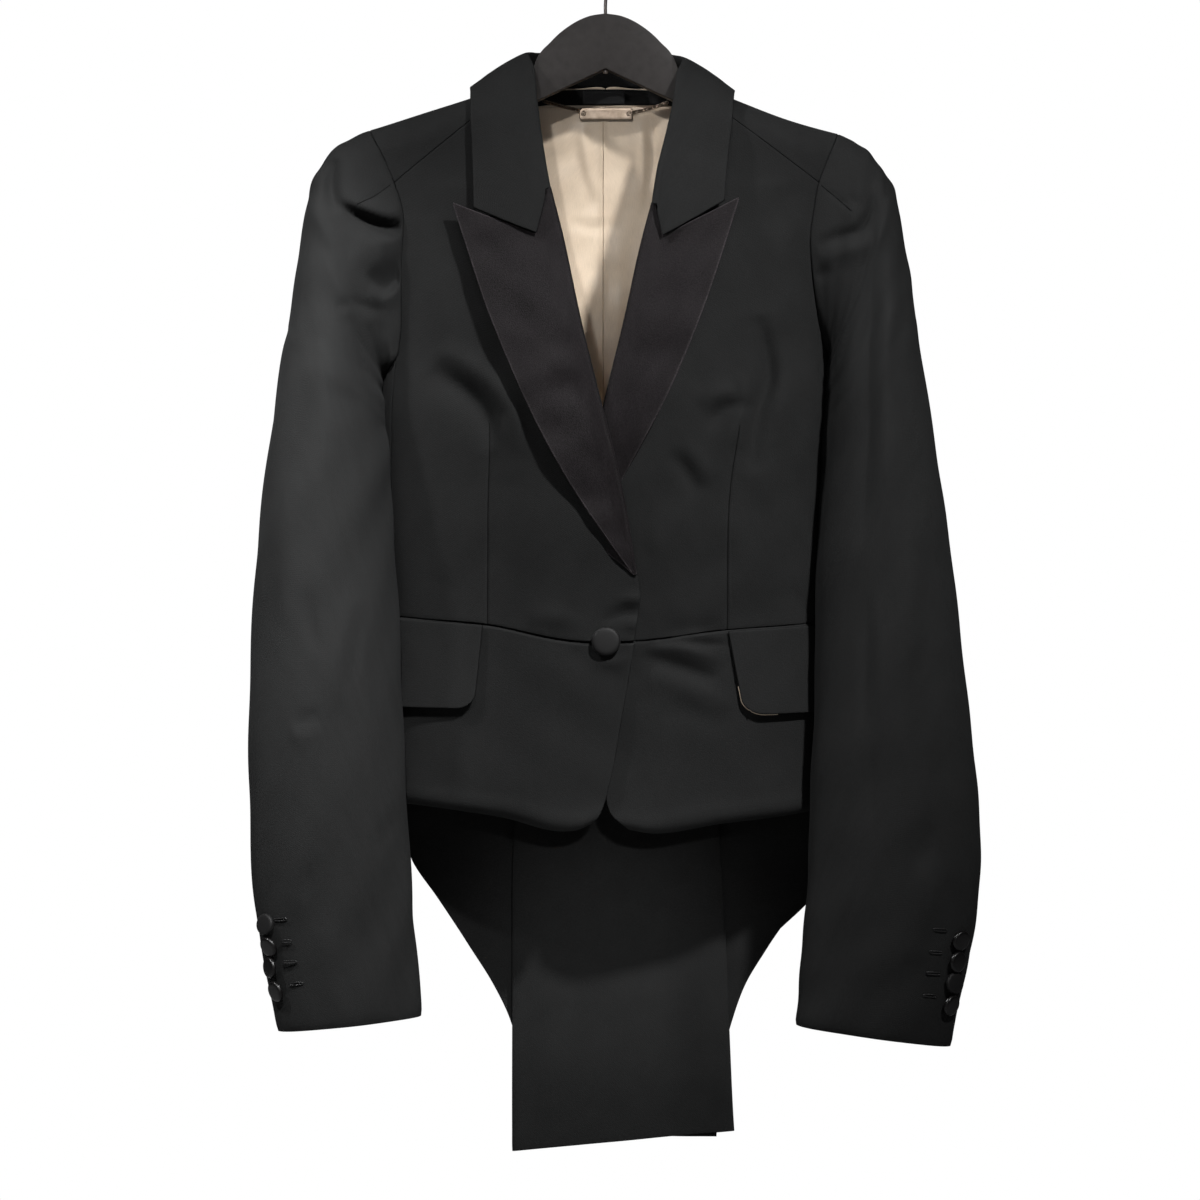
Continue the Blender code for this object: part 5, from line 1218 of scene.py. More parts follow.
def sleeve_point(side, angle, row):
    """A point of a sleeve. 0 is its outline's outer edge, 90 the front, 180 the inner edge."""
    read = {name: smooth(np.arange(len(values)), values, row) for name, values in SLEEVES[side].items()}
    radians = np.radians(angle)
    x = side * ((read["out_x"] + read["in_x"]) / 2 + (read["out_x"] - read["in_x"]) / 2 * np.cos(radians))
    z = (read["out_z"] + read["in_z"]) / 2 + (read["out_z"] - read["in_z"]) / 2 * np.cos(radians)
    y = read["middle_y"] - read["half_depth"] * np.sin(radians)
    return np.stack(np.broadcast_arrays(x, y, z), axis=-1)


# Creases of the sleeves in the front view, on their front half
SLEEVE_CREASES = {
    LEFT: (
        (((-189, -198), (-176, -203), (-163, -208), (-150, -211), (-134, -212)), 7.0, 2.4, 4.2, 1.5),
        (((-188, -203), (-177, -209), (-164, -214.5), (-152, -216.5), (-134, -214.5)), 1.7, 7.6, -10, 1.5),
        (((-176, -223), (-160, -229), (-137, -221)), 3.5, 6, 3.2, 1.8),
        (((-192, -168), (-194, -190), (-189, -210)), 5, 6, -9.0, 1.7),
        (((-180, -236), (-161, -239), (-143, -236)), 9, 10, 3.2, 2),
        (((-169, -253), (-163, -259), (-157.5, -262.8), (-151, -260), (-138, -246)), 15, 1.7, -7.4, 1.5),
        (((-166, -262), (-157, -269), (-144, -259)), 2.4, 6, 2.8, 1.8),
        (((-192, -236), (-186, -262), (-180, -286)), 9, 7, 2.4, 2),
        (((-190, -278), (-177, -274), (-163, -277), (-154, -276)), 4, 4, -2.2, 1.8),
        (((-168, -287), (-164, -306), (-159, -328)), 4, 7, -2.8, 1.7),
        (((-156, -292), (-152, -314), (-148, -334)), 5, 5, 2.2, 2),
        (((-204, -300), (-198, -330), (-190, -372)), 9, 12, 2.4, 2),
        (((-222, -396), (-224, -450), (-224, -500)), 12, 9, 3.0, 2),
        (((-206, -474), (-204, -500), (-203, -520)), 5, 7, -1.8, 2),
        (((-170, -486), (-174, -520), (-178, -548)), 4, 8, -2.8, 1.8),
        (((-178, -480), (-184, -520), (-190, -560)), 8, 8, 1.8, 2),
        (((-216, -570), (-208, -566), (-198, -561)), 3, 6, -2.8, 1.6),
        (((-220, -576), (-210, -573), (-198, -568)), 4, 6, 1.8, 2),
        (((-144, -628), (-152, -644), (-164, -658)), 5, 6, -2.0, 1.8),
        (((-205, -664), (-207, -678), (-211, -690)), 4, 5, -1.6, 1.8),
        (((-195, -704), (-190, -740), (-187, -776)), 8, 10, 1.6, 2),
        (((-160, -690), (-162, -730), (-160, -766)), 9, 9, -1.6, 2),
        (((-236, -420), (-242, -480), (-244, -540)), 9, 7, -1.4, 2),
    ),
    RIGHT: (
        (((150, -232), (162, -226), (178, -222), (187, -208), (190, -194)), 3.5, 6, -5.2, 1.5),
        (((150, -242), (166, -236), (182, -230), (194, -212)), 5, 8, 3.4, 1.8),
        (
            ((189, -184), (188, -232), (186, -272), (184, -316), (183, -360), (181, -400), (179, -446)),
            5.5, 13, -5.0, 1.5,
        ),
        (((200, -196), (200, -246), (197, -300), (195, -360), (193, -430)), 8, 7, 3.0, 2),
        (((168, -250), (167, -300), (165, -350)), 10, 9, 2.0, 2),
        (((148, -254), (154, -251), (158, -247)), 3, 4, -1.8, 1.8),
        (((172, -196), (177, -202), (183, -204)), 3, 4, -1.8, 1.8),
        (((215, -418), (212, -500), (206, -600)), 9, 13, 3.0, 2),
        (((224, -420), (222, -500), (216, -600)), 8, 8, -1.8, 2),
        (((182, -478), (181, -530), (180, -576)), 6, 5, -2.6, 1.8),
        (((190, -478), (190, -530), (188, -576)), 7, 7, 1.6, 2),
        (((184, -580), (184, -612), (184, -644)), 5, 5, -1.8, 1.8),
        (((226, -636), (221, -652), (215, -666)), 5, 6, -2.0, 1.8),
        (((206, -736), (216, -737), (225, -735)), 4, 5, -1.8, 1.8),
        (((230, -660), (226, -700), (222, -716)), 9, 8, 1.8, 2),
        (((160, -640), (158, -700), (158, -760)), 10, 10, -1.4, 2),
    ),
}
# Similar ones on their back half
SLEEVE_BACK_CREASES = {
    LEFT: (
        (((-200, -230), (-178, -226), (-158, -232)), 7, 9, -3.6, 1.8),
        (((-214, -330), (-200, -360), (-180, -380)), 8, 10, -2.8, 2),
        (((-232, -440), (-214, -452), (-190, -450)), 7, 9, -3.0, 1.8),
        (((-236, -470), (-212, -484), (-184, -480)), 8, 8, 2.4, 2),
        (((-216, -560), (-212, -620), (-206, -680)), 9, 11, 2.0, 2),
    ),
    RIGHT: (
        (((160, -226), (182, -222), (202, -236)), 9, 7, -3.8, 1.8),
        (((176, -366), (200, -352), (216, -322)), 9, 9, -2.6, 2),
        (((190, -446), (214, -450), (234, -436)), 9, 7, -3.0, 1.8),
        (((186, -480), (214, -486), (240, -470)), 8, 8, 2.4, 2),
        (((214, -560), (216, -620), (214, -690)), 10, 9, 2.0, 2),
    ),
}
# A sleeve's head is the part of its table above this row, with closer rows of points
SLEEVE_HEAD_ENDS = 7.0
SLEEVE_HEAD_ROWS, SLEEVE_REST_ROWS = 118, 104
SLEEVE_SMOOTHINGS = 44
SLEEVE_MIDDLE_ANGLE = 40.0
BACK_SEAM_COLUMN, UNDER_SEAM_COLUMN = 24, 12
CUFF_TURN = 7
SLEEVE_DART_SHAPE = (1.1, 1.1, -1.3, 1.6)
SLEEVE_ALLOWANCE_IN = 3.2
SLEEVE_LINED_ROWS = slice(72, -12)
# The dart in each sleeve head, which carries the forward shoulder seam on
SLEEVE_DARTS = {
    LEFT: ((-152.5, -187.5), (-163, -196), (-175, -203)),
    RIGHT: ((153, -188), (163, -197), (173.5, -207.5)),
}


def armhole_ways(side, angles):
    """Directions at the armhole seam: along it, and into the hole along the body."""
    tangent = unit(armhole_point(side, angles + 1.5) - armhole_point(side, angles - 1.5))
    here = armhole_point(side, angles)
    middle = armhole_point(side, np.array([0.0, 90.0, 180.0, 270.0])).mean(axis=0)
    towards = middle + np.array([side * 25.0, 0, 0]) - here
    towards -= np.sum(towards * tangent, axis=-1, keepdims=True) * tangent
    return tangent, unit(towards)


def ring_normals(ring):
    """Normals of a closed ring of columns, pointing out."""
    wrapped = np.concatenate([ring[:, -1:], ring, ring[:, :1]], axis=1)
    normals = unit(np.cross(np.gradient(wrapped, axis=0), np.gradient(wrapped, axis=1)))[:, 1:-1]
    row = ring.shape[0] // 2
    outward = ring[row, 0] - ring[row].mean(axis=0)
    return -normals if np.dot(normals[row, 0], outward) < 0 else normals


def sleeve_columns():
    """Angles of a sleeve's columns round the armhole from the back seam on, and those of its seams."""
    back = np.linspace(SIDE_BACK, 360, 55)
    shoulder = np.linspace(0, FORWARD_SEAM, 25)
    front = np.linspace(FORWARD_SEAM, SIDE_FRONT, 49)
    under = np.linspace(SIDE_FRONT, SIDE_BACK, 21)
    upper_back, lower_back = back[BACK_SEAM_COLUMN:-1] - 360, back[1:BACK_SEAM_COLUMN]
    angles = np.concatenate([upper_back, shoulder, front[1:], under[1:], lower_back])
    return angles, under[UNDER_SEAM_COLUMN], back[BACK_SEAM_COLUMN]


def sleeve_rows(side):
    """Rows down a sleeve, closest in its head, the last row, and the sleeve's length."""
    last = len(SLEEVES[side]["out_x"]) - 1
    fine = np.linspace(0, last, 500)
    passed = passed_along(sleeve_point(side, SLEEVE_MIDDLE_ANGLE, fine))
    head = np.linspace(0, np.interp(SLEEVE_HEAD_ENDS, fine, passed), SLEEVE_HEAD_ROWS)
    rest = np.linspace(head[-1], passed[-1], SLEEVE_REST_ROWS)[1:]
    return np.interp(np.concatenate([head, rest]), passed, fine)[:, None], last, passed[-1]


def sleeve_form(side, angles, placed, row):
    """A sleeve's plain form, drawn to the armhole seam at its top and evened out below it."""
    seam = swell(side, armhole_point(side, angles))
    fade = (1 - ease(row / ARMHOLE_FADE))[..., None]
    grid = sleeve_point(side, placed, row) + (seam - sleeve_point(side, angles, 0.0))[None] * fade
    rounded = grid
    for _ in range(SLEEVE_SMOOTHINGS):
        inner = rounded[1:-1] * 0.5 + (rounded[:-2] + rounded[2:]) * 0.25
        rounded = np.concatenate([rounded[:1], inner, rounded[-1:]])
    return mix(grid, rounded, ease(row / 0.8)[..., None]), seam


def sleeve_ring(side):
    """The whole sleeve as a closed ring of columns, starting at the back seam."""
    angles, front_seam, back_seam = sleeve_columns()
    row, last, length = sleeve_rows(side)
    turn = (BACK_SEAM_CUFF - back_seam) * ease(row / last)
    over_top = (front_seam - angles) / (front_seam + 360 - back_seam)
    below = (angles - front_seam) / (back_seam - front_seam)
    placed = angles[None, :] + turn * np.where(angles < front_seam, over_top, below)[None, :]
    grid, seam = sleeve_form(side, angles, placed, row)
    x, z = grid[..., 0], grid[..., 2]
    facing = np.sin(np.radians(placed))
    from_head = ease(row / 0.5)
    relief = crease(x, z, SLEEVE_CREASES[side]) * ease(facing * 2.2) * from_head
    hidden = crease(x, z, SLEEVE_BACK_CREASES[side]) * ease(-facing * 2.2) * from_head
    soft = uneven(placed * 0.8, length * row / last, "sleeve", side) * ease(row / 2)
    dart = crease(x, z, ((SLEEVE_DARTS[side], *SLEEVE_DART_SHAPE),)) * ease(facing * 4)
    normals = ring_normals(grid)
    grid = grid + normals * (soft + hidden + dart)[..., None]
    grid[..., 1] -= mix(relief, soften(relief), 0.6)
    cuff = np.clip(1 - (last - row) / last * length / CUFF_TURN, 0, 1) ** 2
    grid = grid - normals * cuff[..., None]
    grid[0] = seam + armhole_ways(side, angles)[1] * ARMHOLE_GAP
    return grid, int(np.argmin(np.abs(angles - front_seam))), angles


def seam_shade_tube(name, course, radius=0.36):
    """Painted shade: a dark tube laid along a course, standing for the shadow in a sunk seam."""
    add_mesh(name, *tube(course, radius, 6), ["facing"])


def seam_shade_over_grid(name, points, normals, course):
    """Painted shade: a dark tube laid along a front-view course over a grid, standing for the shadow in a
    sunk seam.
    """
    front = normals[..., 1] < -0.2
    spots, ways = points[front], normals[front]
    laid = []
    for x, z in rows_between(np.array(course, float), np.linspace(0, len(course) - 1, 40)):
        nearest = np.argmin((spots[:, 0] - x) ** 2 + (spots[:, 2] - z) ** 2)
        spot, way = spots[nearest], ways[nearest]
        y = spot[1] - (way[0] * (x - spot[0]) + way[2] * (z - spot[2])) / way[1]
        laid.append(np.array([x, y, z]))
    seam_shade_tube(name, laid, 0.42)


def sleeve_allowance(side, ring, angles):
    """Two rows tucked into the armhole above a sleeve's first row, lower near the top, and normals."""
    tangent, into = armhole_ways(side, angles)
    outward = unit(np.cross(tangent, into))
    if outward[np.argmin(abs(angles - 90)), 1] > 0:
        outward = -outward
    turned_in = ring[0] - outward * 2.6 - into * 0.2
    tucked = ring[0] - outward * 3.0 - into * SLEEVE_ALLOWANCE_IN
    near_top = ease((ring[0, :, 2] + 166) / 12)
    for hidden, drop in ((turned_in, 3.0), (tucked, 5.0)):
        hidden[:, 2] = np.minimum(hidden[:, 2], ring[0, :, 2] - drop * near_top)
    return [tucked, turned_in], outward, into


def add_sleeve(side):
    """Upper and under sleeve, split from one ring at the front and back seams."""
    ring, front_seam, angles = sleeve_ring(side)
    columns = ring.shape[1]
    normals = ring_normals(ring)
    # Painted shade along the sleeve head's dart
    seam_shade_over_grid(f"sleeve_dart_shade_{SIDES[side]}", ring, normals, SLEEVE_DARTS[side])
    allowance, outward, into = sleeve_allowance(side, ring, angles)
    ring = np.concatenate([allowance, ring])
    normals = np.concatenate([[outward, unit(outward - into)], normals])
    normals[2] = unit(normals[2] - into + outward)
    lined = lined_part(ring, SLEEVE_LINED_ROWS)
    pieces = {"upper": np.arange(front_seam + 1), "under": np.arange(front_seam, columns + 1) % columns}
    for piece, places in pieces.items():
        grid = ring[:, places].copy()
        grid[:, 0] += unit(grid[:, 1] - grid[:, 0]) * SEAM_GAP / 2
        grid[:, -1] += unit(grid[:, -2] - grid[:, -1]) * SEAM_GAP / 2
        inside = {"inside": "lining", "inner_mask": lined[:, places], "normals": normals[:, places]}
        cloth_piece(f"sleeve_{piece}_{SIDES[side]}", grid, WOOL_THICKNESS, "wool", None, **inside)


def open_seams(grid):
    """A panel drawn in at its rim by half the gap of its seams."""
    return grid + inward_steps(grid) * (SEAM_GAP / 2)


# Rows and columns that the lining covers in the fronts and the front skirts
FRONT_LINED = np.s_[:, 18:]
SKIRT_LINED = np.s_[:-9, 20:]


def cloth_piece(node, grid, thickness, finish, outward, **more):
    """A sheet of cloth that stands for one solid."""
    item = add_wall(node + "_cloth", grid, thickness, finish, outward, **more)
    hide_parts(node)


def lined_part(grid, place):
    """True where a panel's inner face shows its lining."""
    lined = np.zeros(grid.shape[:2], bool)
    lined[place] = True
    return lined


def wool_piece(node, grid, outward, **more):
    cloth_piece(node, grid, WOOL_THICKNESS, "wool", outward, **more)


def add_bodice(side, name):
    """Front with its dart, side and back, above the waist seam."""
    front, dart_line = front_grid(side)
    front = swell(side, open_seams(front))
    lined = lined_part(front, FRONT_LINED)
    wool_piece(f"front_{name}", front, FORWARD, inside="lining", inner_mask=lined, seams=dart_line)
    # Painted shade along the shoulder seam
    seam_shade_tube(f"shoulder_seam_shade_{name}", front[0])
    under_arm = swell(side, open_seams(side_grid(side)))
    wool_piece(f"side_{name}", under_arm, (side, 0, 0), inside="lining")
    back = swell(side, open_seams(back_grid(side)))
    wool_piece(f"back_{name}", back, BACKWARD, inside="lining")


def add_skirts(side, name):
    """Front skirt and tail, below the waist seam."""
    skirt = with_allowance(swell(side, open_seams(skirt_grid(side))), FORWARD)
    lined = lined_part(skirt, SKIRT_LINED)
    wool_piece(f"skirt_front_{name}", skirt, FORWARD, rounding=0.8, inside="lining", inner_mask=lined)
    tail = with_allowance(swell(side, open_seams(tail_grid(side))), BACKWARD)
    wool_piece(f"tail_{name}", tail, BACKWARD)


def add_flap(side, name):
    """A pocket flap. A little lining shows under the right one's rounded corner."""
    flap = swell(side, flap_grid(side))
    wool_piece(f"flap_{name}", flap, FORWARD, rounding=0.8)
    if side == RIGHT:
        corner = np.concatenate([flap[21:, 0], flap[-1, 1:11]]) + np.array([-0.15, 1.9, -0.15])
        add_mesh("flap_lining_edge", *tube(corner, 0.42, 8), ["lining"])


def add_body():
    """Every panel of the shell."""
    for side, name in SIDES.items():
        add_bodice(side, name)
        add_skirts(side, name)
        add_flap(side, name)
        cloth_piece(f"lapel_{name}", lapel_grid(side), SATIN_THICKNESS, "satin", FORWARD)
        add_sleeve(side)
    wool_piece("tail_pleat", pleat_grid(), FORWARD)
    cloth_piece("collar", collar_grid(), COLLAR_THICKNESS, "wool", BACKWARD, rounding=0.9)


LINING_CREASES = (
    (((-17, -135), (-12, -165), (-5, -190)), 2.0, 9, 2.6, 1.4),
    (((-26, -130), (-18, -168), (-8, -200)), 7, 5, -1.6, 2),
    (((26, -134), (28, -160), (26, -190)), 3, 4, 1.6, 1.8),
    (((34, -130), (33, -160), (30, -200)), 4, 3, -1.4, 1.8),
    (((-30, -205), (-10, -210), (12, -206)), 3, 4, -1.2, 1.8),
    (((8, -215), (10, -260), (6, -320)), 6, 6, 1.4, 2),
    (((-30, -240), (-22, -300), (-12, -350)), 8, 8, 1.2, 2),
)
LINING_SEAM, LINING_REACH = -1.6, 118.0
LINING_TOP, LINING_BOTTOM = -123.8, -476.0
LINING_DEPTH, LINING_DEEPEST, LINING_FOLLOWS = 2.8, -1.3, 1.2
# Bands inside the neck: ends, top and bottom, and depth inside the back's outer face
FACING_BAND = ((-52.0, 52.0, 61), (-111.0, -122.4, 9), 2.5)
LABEL_BAND = ((-16.2, 14.2, 21), (-112.6, -121.8, 9), 3.9)


def lining_grid(side):
    """Half of the back lining, with the centre seam's ridge, clear of the back's own dents."""
    seam = LINING_SEAM
    x = np.linspace(seam + side * SEAM_GAP / 2, side * LINING_REACH, 49)[None, :]
    z = np.linspace(LINING_TOP, LINING_BOTTOM, 97)[:, None]
    x = seam + (x - seam) * mix(0.48, 1, ease((LINING_TOP - z) / 60.0))
    z = z + 0 * x
    panel = back_point(x, z)
    below_top = ease((-124 - z) / 6)
    relief = (crease(x, z, LINING_CREASES) + uneven(x, z, "lining", side)) * below_top
    relief = relief + np.exp(-((x - seam) ** 2) / 3)
    dents = crease(x, -along_from_height(x, z), BACK_CREASES[side])
    relief = np.maximum(relief, LINING_DEEPEST) - LINING_FOLLOWS * np.minimum(dents, 0) * below_top
    return panel - grid_normals(panel, BACKWARD) * (LINING_DEPTH + relief)[..., None]


def band_grid(ends, heights, depth):
    """A flat band inside the back's neck."""
    panel = back_point(np.linspace(*ends)[None, :], np.linspace(*heights)[:, None])
    return panel - grid_normals(panel, BACKWARD) * depth


def add_inside():
    """Back lining, neck facing, bare label."""
    for side, name in SIDES.items():
        half = lining_grid(side)
        cloth_piece(f"lining_{name}", half, LINING_THICKNESS, "lining", BACKWARD, rounding=0.35)
    facing, label = band_grid(*FACING_BAND), band_grid(*LABEL_BAND)
    cloth_piece("neck_facing", facing, LINING_THICKNESS, "facing", BACKWARD, rounding=0.35)
    cloth_piece("neck_label", label, LABEL_THICKNESS, "label", BACKWARD, rounding=0.2)


def turned(centre, facing, outline, turns, way=None):
    """Points and faces of a form turned about its facing direction, closed at both ends."""
    facing = unit(np.asarray(facing, float))
    side_way = unit(np.cross(facing, (0.0, 0.0, 1.0) if way is None else way))
    up_way = np.cross(side_way, facing)
    around = np.linspace(0, 2 * math.pi, turns, endpoint=False)
    ring = side_way * np.cos(around)[:, None] + up_way * np.sin(around)[:, None]
    points = [centre + facing * outline[0][1]]
    for out, up in outline:
        points += list(centre + ring * out + facing * up)
    points.append(centre + facing * outline[-1][1])
    faces = []
    for turn in range(turns):
        after = (turn + 1) % turns
        faces.append((0, 1 + after, 1 + turn))
        for place in range(len(outline) - 1):
            low, high = 1 + place * turns, 1 + (place + 1) * turns
            faces.append((low + turn, low + after, high + after, high + turn))
        high = 1 + (len(outline) - 1) * turns
        faces.append((high + turn, high + after, len(points) - 1))
    return np.array(points), faces


def ring_faces(rings, sides, closed=False):
    """Faces between rings of points, one after another."""
    faces = []
    for place in range(rings if closed else rings - 1):
        low, high = place * sides, (place + 1) % rings * sides
        for turn in range(sides):
            after = (turn + 1) % sides
            faces.append((low + turn, low + after, high + after, high + turn))
    return faces


def capped_faces(rings, sides):
    """The same with a face over each end."""
    ends = [tuple(range(sides)), tuple(range((rings - 1) * sides, rings * sides))]
    return ends + ring_faces(rings, sides)


def tube(points, radius, sides=8, closed=False):
    """Points and faces of a tube along a course, with its ends capped."""
    points = np.asarray(points, float)
    radius = np.broadcast_to(radius, len(points))
    ways = np.gradient(points, axis=0)
    if closed:
        ways = np.roll(points, -1, axis=0) - np.roll(points, 1, axis=0)
    ways = unit(ways)
    across = np.cross(ways[0], (0.31, 0.17, 0.93))
    rings = []
    for point, way, size in zip(points, ways, radius):
        across = unit(across - way * np.dot(across, way))
        up = np.cross(way, across)
        turn = np.linspace(0, 2 * math.pi, sides, endpoint=False)[:, None]
        rings.append(point + (across * np.cos(turn) + up * np.sin(turn)) * size)
    made = np.concatenate(rings)
    count = len(points)
    faces = ring_faces(count, sides, closed)
    if not closed:
        faces.append(tuple(range(sides)))
        faces.append(tuple(range((count - 1) * sides, count * sides)))
    return made, faces


def joined(parts):
    """Several forms as one list of points and one of faces."""
    points, faces, passed = [], [], 0
    for part_points, part_faces in parts:
        points.append(part_points)
        faces += [tuple(place + passed for place in face) for face in part_faces]
        passed += len(part_points)
    return np.concatenate(points), faces


def solid_piece(node, ending, form, finish, sharp=None):
    """A stiff form that stands for one solid."""
    item = add_mesh(f"{node}_{ending}", *form, [finish], sharp=sharp)
    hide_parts(node)


# A covered button's half outline, as shares of its radius and height
BUTTON_OUTLINE = (
    (0.78, 0.0), (0.92, 0.05), (0.985, 0.18), (1.0, 0.38), (0.99, 0.58), (0.955, 0.75), (0.89, 0.88),
    (0.78, 0.945), (0.62, 0.97), (0.42, 0.99), (0.2, 1.0),
)
BUTTON_TURNS, PUCKERS, PUCKER_DEPTH = 64, 15, 0.10
MAIN_BUTTON = (0.3, -511.2)
MAIN_BUTTON_FACING, MAIN_BUTTON_SIZE = (0.03, -1, 0.10), (10.2, 4.8)
CUFF_BUTTON_SIZE = (7.5, 3.6)
# The cuff buttons that catch the light, by their number from the top: painted light, as they get the
# lighter button cloth
LIT_CUFF_BUTTON = {LEFT: 1, RIGHT: 3}


def add_button(name, centre, facing, radius, height, finish):
    """A covered button, its cloth drawn round the rim."""
    outline = [(out * radius, up * height) for out, up in BUTTON_OUTLINE]
    points, faces = turned(centre, facing, outline, BUTTON_TURNS)
    facing = unit(np.asarray(facing, float))
    middle = points - centre
    up = middle @ facing
    flat = middle - up[:, None] * facing
    turn = np.arange(len(points)) * 2 * math.pi / BUTTON_TURNS
    pucker = PUCKER_DEPTH * np.sin(turn * PUCKERS) * np.clip(1 - up / height / 0.7, 0, 1)
    solid_piece(name, "covered", (points + unit(flat) * pucker[:, None], faces), finish)


# Cuff buttons in the front view, with how each is tilted sideways and upwards
CUFF_BUTTONS = {
    LEFT: (
        (-236.0, -708.3, 0.05, 0.22),
        (-233.4, -723.4, -0.05, -0.30),
        (-232.6, -738.5, -0.32, 0.02),
        (-228.5, -754.6, -0.26, -0.22),
    ),
    RIGHT: (
        (246.2, -718.9, 0.10, -0.22),
        (244.0, -733.9, 0.18, -0.05),
        (242.0, -748.9, 0.0, 0.2),
        (239.5, -764.2, 0.22, -0.18),
    ),
}
# Worked buttonholes beside them: middle in the front view, and length
BUTTONHOLES = {
    LEFT: ((-226.0, -704.4, 8.6), (-221.6, -719.4, 6.4), (-219.6, -733.9, 9.4), (-214.8, -748.9, 9.2)),
    RIGHT: ((232.4, -711.4, 9.6), (229.4, -727.0, 8.6), (227.8, -741.6, 9.6), (225.4, -757.2, 9.2)),
}


STITCHES, STITCH_EVERY = 54, 2.25
LIP_OUT, LIP_RAISED = 0.85, 0.55


def sleeve_place(side, x, z):
    """The place of a sleeve's front that lies at x and z in the front view, and its normal."""
    last = len(SLEEVES[side]["out_x"]) - 1
    angle, row = 40.0, last - 1.5
    for _ in range(12):
        here = sleeve_point(side, angle, row)
        by_angle = (sleeve_point(side, angle + 1, row) - here)[[0, 2]]
        by_row = (sleeve_point(side, angle, row + 0.02) - here)[[0, 2]] / 0.02
        miss = np.array([x, z]) - here[[0, 2]]
        change = np.linalg.solve(np.stack([by_angle, by_row], axis=1), miss)
        angle = float(np.clip(angle + change[0], 8, 88))
        row = float(np.clip(row + change[1], last - 4, last))
    here = sleeve_point(side, angle, row)
    across = sleeve_point(side, angle + 1, row) - sleeve_point(side, angle - 1, row)
    down = sleeve_point(side, angle, min(row + 0.2, last)) - sleeve_point(side, angle, row - 0.2)
    normal = unit(np.cross(across, down))
    return here, normal if normal[1] < 0 else -normal


def buttonhole(side, x, z, length):
    """Two stitched lips round a slit."""
    turn = np.linspace(0, 2 * math.pi, STITCHES, endpoint=False)
    along = length / 2 * np.sign(np.cos(turn)) * np.abs(np.cos(turn)) ** 0.45
    across = LIP_OUT * np.sign(np.sin(turn)) * np.abs(np.sin(turn)) ** 0.6
    course = []
    for out, up in zip(along, across):
        spot, normal = sleeve_place(side, x + out, z + up + 0.10 * out * -side)
        course.append(spot + normal * LIP_RAISED)
    lips = 0.50 + 0.09 * np.sin(np.arange(STITCHES) * 2 * math.pi / STITCH_EVERY)
    return joined([tube(course, lips, 7, closed=True)])


def add_buttons():
    """The front button, four on each cuff, and the buttonholes beside those."""
    seat = front_point(*MAIN_BUTTON, lap_out(LEFT, *MAIN_BUTTON) + 1.0)
    add_button("main_button", seat, MAIN_BUTTON_FACING, *MAIN_BUTTON_SIZE, "button_cloth")
    holes = []
    for side, name in SIDES.items():
        for number, (x, z, lean, nod) in enumerate(CUFF_BUTTONS[side], 1):
            place, facing = sleeve_place(side, x, z)
            # Painted light: the button that catches the light gets the lighter cloth
            finish = "button_cloth" if number == LIT_CUFF_BUTTON[side] else "button_satin"
            tilted = unit(facing + np.array([lean, 0, nod]))
            node = f"cuff_button_{name}_{number}"
            add_button(node, place + facing * 0.9, tilted, *CUFF_BUTTON_SIZE, finish)
        holes += [buttonhole(side, *hole) for hole in BUTTONHOLES[side]]
    add_mesh("cuff_buttonholes", *joined(holes), ["thread"])


PLATE_MIDDLE = np.array([0.5, 32.4, -129.1])
PLATE_HALF = np.array([19.3, 4.4])
PLATE_CORNER, PLATE_BOW = 1.3, 0.35
# From the plate's back to its front: how far each ring is drawn in, and its depth
PLATE_RINGS = (
    (2.2, -0.78), (0.42, -0.8), (0.12, -0.68), (0.0, -0.45),
    (0.0, 0.45), (0.12, 0.68), (0.42, 0.8), (2.2, 0.78),
)
RIVET_OUTLINE = ((0.9, 0.0), (0.85, 0.25), (0.5, 0.4), (0.2, 0.44))
LINK_EVERY, LINK_LEAN = 1.25, 32
LINK_LONG, LINK_WIDE, LINK_SKEW, LINK_WIRE = 1.05, 1.25, 0.5, 0.32
CHAIN_ENDS = {
    LEFT: ((-44.5, 31.0, -120.2), (-32.0, 31.9, -123.6), (-19.0, 32.2, -126.8)),
    RIGHT: ((44.5, 31.0, -121.4), (33.0, 31.9, -125.2), (20.0, 32.2, -128.0)),
}


def plate_outline():
    """A rectangle with rounded corners."""
    outline = []
    reach = PLATE_HALF - PLATE_CORNER
    for start, *signs in ((0, 1, 1), (90, -1, 1), (180, -1, -1), (270, 1, -1)):
        around = np.radians(start + np.linspace(0, 90, 7))[:, None]
        rounded = np.concatenate([np.cos(around), np.sin(around)], axis=1)
        outline.append(signs * reach + PLATE_CORNER * rounded)
    return np.concatenate(outline)


def plate_form():
    """The plate, slightly bowed, with a riveted eye at each end."""
    outline = plate_outline()
    rings = []
    for drawn, depth in PLATE_RINGS:
        across, up = (outline * (PLATE_HALF - drawn) / PLATE_HALF).T
        bow = PLATE_BOW * (1 - (across / PLATE_HALF[0]) ** 2)
        rings.append(np.stack([across, depth + bow, up], axis=-1))
    parts = [(np.concatenate(rings) + PLATE_MIDDLE, capped_faces(len(rings), len(outline)))]
    turn = np.linspace(0, 2 * math.pi, 20, endpoint=False)
    circle = np.stack([np.cos(turn), 0 * turn, np.sin(turn)], axis=-1)
    for way in (-1, 1):
        eye = PLATE_MIDDLE + np.array([way * 16.4, -0.75, 0.2])
        parts.append(tube(eye + circle * 1.55, 0.42, 8, closed=True))
        parts.append(turned(eye + np.array([0, 0.15, 0]), FORWARD, RIVET_OUTLINE, 16))
    return joined(parts)


